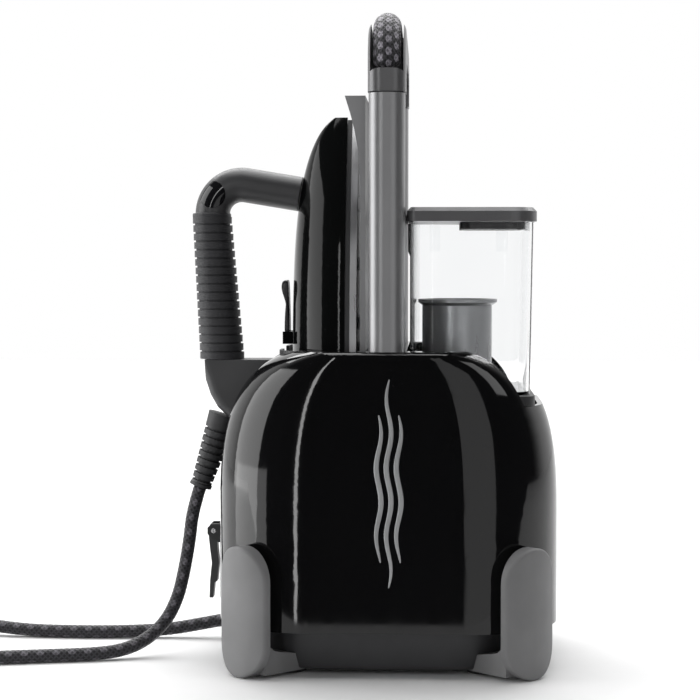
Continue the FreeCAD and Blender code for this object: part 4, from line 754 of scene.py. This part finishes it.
def rocker_marks():
    """The on bar and the off ring printed on the rocker's face."""
    face = surface_of("power_rocker")

    def on_face(x, z, proud):
        hit = face.ray_cast(at(ROCKER_X + x, 200.0, z), Vector((0, -1, 0)))[0]
        return hit + Vector((0, proud * MM, 0))

    bar = [on_face(x, ROCKER_ON_Z + z, proud) for proud in (PRINT_SUNK, PRINT_PROUD)
           for x, z in ((-0.5, -2.2), (0.5, -2.2), (0.5, 2.2), (-0.5, 2.2))]
    sides = [(0, 1, 5, 4), (1, 2, 6, 5), (2, 3, 7, 6), (3, 0, 4, 7), (4, 5, 6, 7), (3, 2, 1, 0)]
    mesh_piece("RockerOnBar", bar, sides, PRINT_WHITE, "switch", "rocker", smooth=False)
    points, faces, steps = [], [], 32
    for step in range(steps):
        turn = math.tau * step / steps
        for reach, proud in ((2.3, PRINT_SUNK), (2.3, PRINT_PROUD), (1.5, PRINT_PROUD), (1.5, PRINT_SUNK)):
            points.append(on_face(reach * math.cos(turn), ROCKER_OFF_Z + reach * math.sin(turn), proud))
    for step in range(steps):
        after = (step + 1) % steps
        for side in range(4):
            other = (side + 1) % 4
            faces.append((step * 4 + side, after * 4 + side, after * 4 + other, step * 4 + other))
    mesh_piece("RockerOffRing", points, faces, PRINT_WHITE, "switch", "rocker")


rocker_marks()


# ------------------------------------------------------------------------------ floor and backdrop

def stage_floor():
    """Pale round-cornered floor sheet."""
    half_x, front, back, corner = 2.6, -0.27, 3.6, 0.16
    outline = []
    for side_x, middle_y, first in ((1, back - corner, 0), (-1, back - corner, 90),
                                    (-1, front + corner, 180), (1, front + corner, 270)):
        for step in range(9):
            turn = math.radians(first + 90 * step / 8)
            outline.append(Vector((side_x * (half_x - corner) + corner * math.cos(turn),
                                   middle_y + corner * math.sin(turn), 0.0)))
    finish = moulded("FloorPale", (0.82, 0.82, 0.82), 0.7, 3.0, 0.02, variation=0.01)
    floor = mesh_piece("Floor", outline, [tuple(range(len(outline)))], finish, None, None, smooth=False)


stage_floor()


def world_light():
    """White room behind the object and a dark one in front, which only reflections see."""
    world = bpy.data.worlds.new("Room")
    bpy.context.scene.world = world
    world.use_nodes = True
    tree = world.node_tree
    place = tree.nodes.new("ShaderNodeTexCoord").outputs["Generated"]
    parts = tree.nodes.new("ShaderNodeSeparateXYZ")
    tree.links.new(place, parts.inputs[0])
    share = map_range(tree, parts.outputs[1], 0.1, 0.55, 0.0, 1.0, smooth=True)
    kind = tree.nodes.new("ShaderNodeLightPath").outputs
    seen = math_node(tree, "MAXIMUM", kind["Is Camera Ray"], kind["Is Transmission Ray"])
    share = math_node(tree, "MAXIMUM", share, seen)
    tree.links.new(mix_color(tree, share, (0.035, 0.035, 0.037), (1.0, 1.0, 1.0)),
                   tree.nodes["Background"].inputs["Color"])


world_light()


def area_light(name, wide, tall, brightness):
    """A rectangular soft light of a given brightness."""
    light = bpy.data.lights.new(name, "AREA")
    light.shape = "RECTANGLE"
    light.size, light.size_y = wide, tall
    light.energy = brightness * math.pi * wide * tall
    lamp = bpy.data.objects.new(name, light)
    bpy.context.scene.collection.objects.link(lamp)
    return lamp


def softbox(name, turn, rise, distance, wide, tall, brightness):
    """A light that faces the object from a bearing: 0 is the front, 90 the right."""
    lamp = area_light(name, wide, tall, brightness)
    turn, rise = math.radians(turn), math.radians(rise)
    toward = Vector((math.sin(turn) * math.cos(rise), -math.cos(turn) * math.cos(rise), math.sin(rise)))
    lamp.location = Vector((0.0, 0.0, LIGHT_AIM_Z)) + toward * distance
    lamp.rotation_mode = "QUATERNION"
    lamp.rotation_quaternion = (-toward).to_track_quat("-Z", "Y")


LIGHT_AIM_Z = 0.15
# name, bearing, rise, distance, width, height, brightness
SOFTBOXES = (
    ("LeftWall", -88.0, 12.0, 1.6, 1.2, 1.8, 3.4),
    ("LeftKick", -76.0, -8.5, 0.6, 0.5, 0.14, 1.9),
    ("LeftStrip", -19.0, 8.0, 1.9, 0.13, 1.9, 7.5),
    ("FrontPanel", 23.0, 8.0, 2.0, 1.25, 1.9, 0.85),
    ("RightHigh", 74.0, 38.0, 1.8, 0.5, 0.9, 2.2),
)
# name, place, width, depth, brightness; both look straight down
OVERHEADS = (("TopBox", (0.0, 0.25, 2.1), 1.6, 1.3, 3.6), ("BackBox", (0.0, 2.4, 2.6), 4.4, 2.2, 4.5))

for softbox_values in SOFTBOXES:
    softbox(*softbox_values)
for name, place, wide, deep, brightness in OVERHEADS:
    area_light(name, wide, deep, brightness).location = place


CAMERA_AT, CAMERA_DIP, CAMERA_TURN, CAMERA_LENS, CAMERA_SENSOR = (31.5, -1280.0, 258.0), 2.7, 2.56, 101.1, 36.0


def make_camera():
    """A long lens in front of the station, a little above its middle."""
    lens = bpy.data.cameras.new("Camera")
    lens.lens, lens.sensor_width = CAMERA_LENS, CAMERA_SENSOR
    lens.clip_start, lens.clip_end = 0.05, 30.0
    camera = bpy.data.objects.new("Camera", lens)
    bpy.context.scene.collection.objects.link(camera)
    camera.location = at(*CAMERA_AT)
    camera.rotation_euler = (math.radians(90.0 - CAMERA_DIP), 0.0, math.radians(CAMERA_TURN))
    bpy.context.scene.camera = camera


make_camera()
bpy.context.scene.view_settings.view_transform = "Standard"
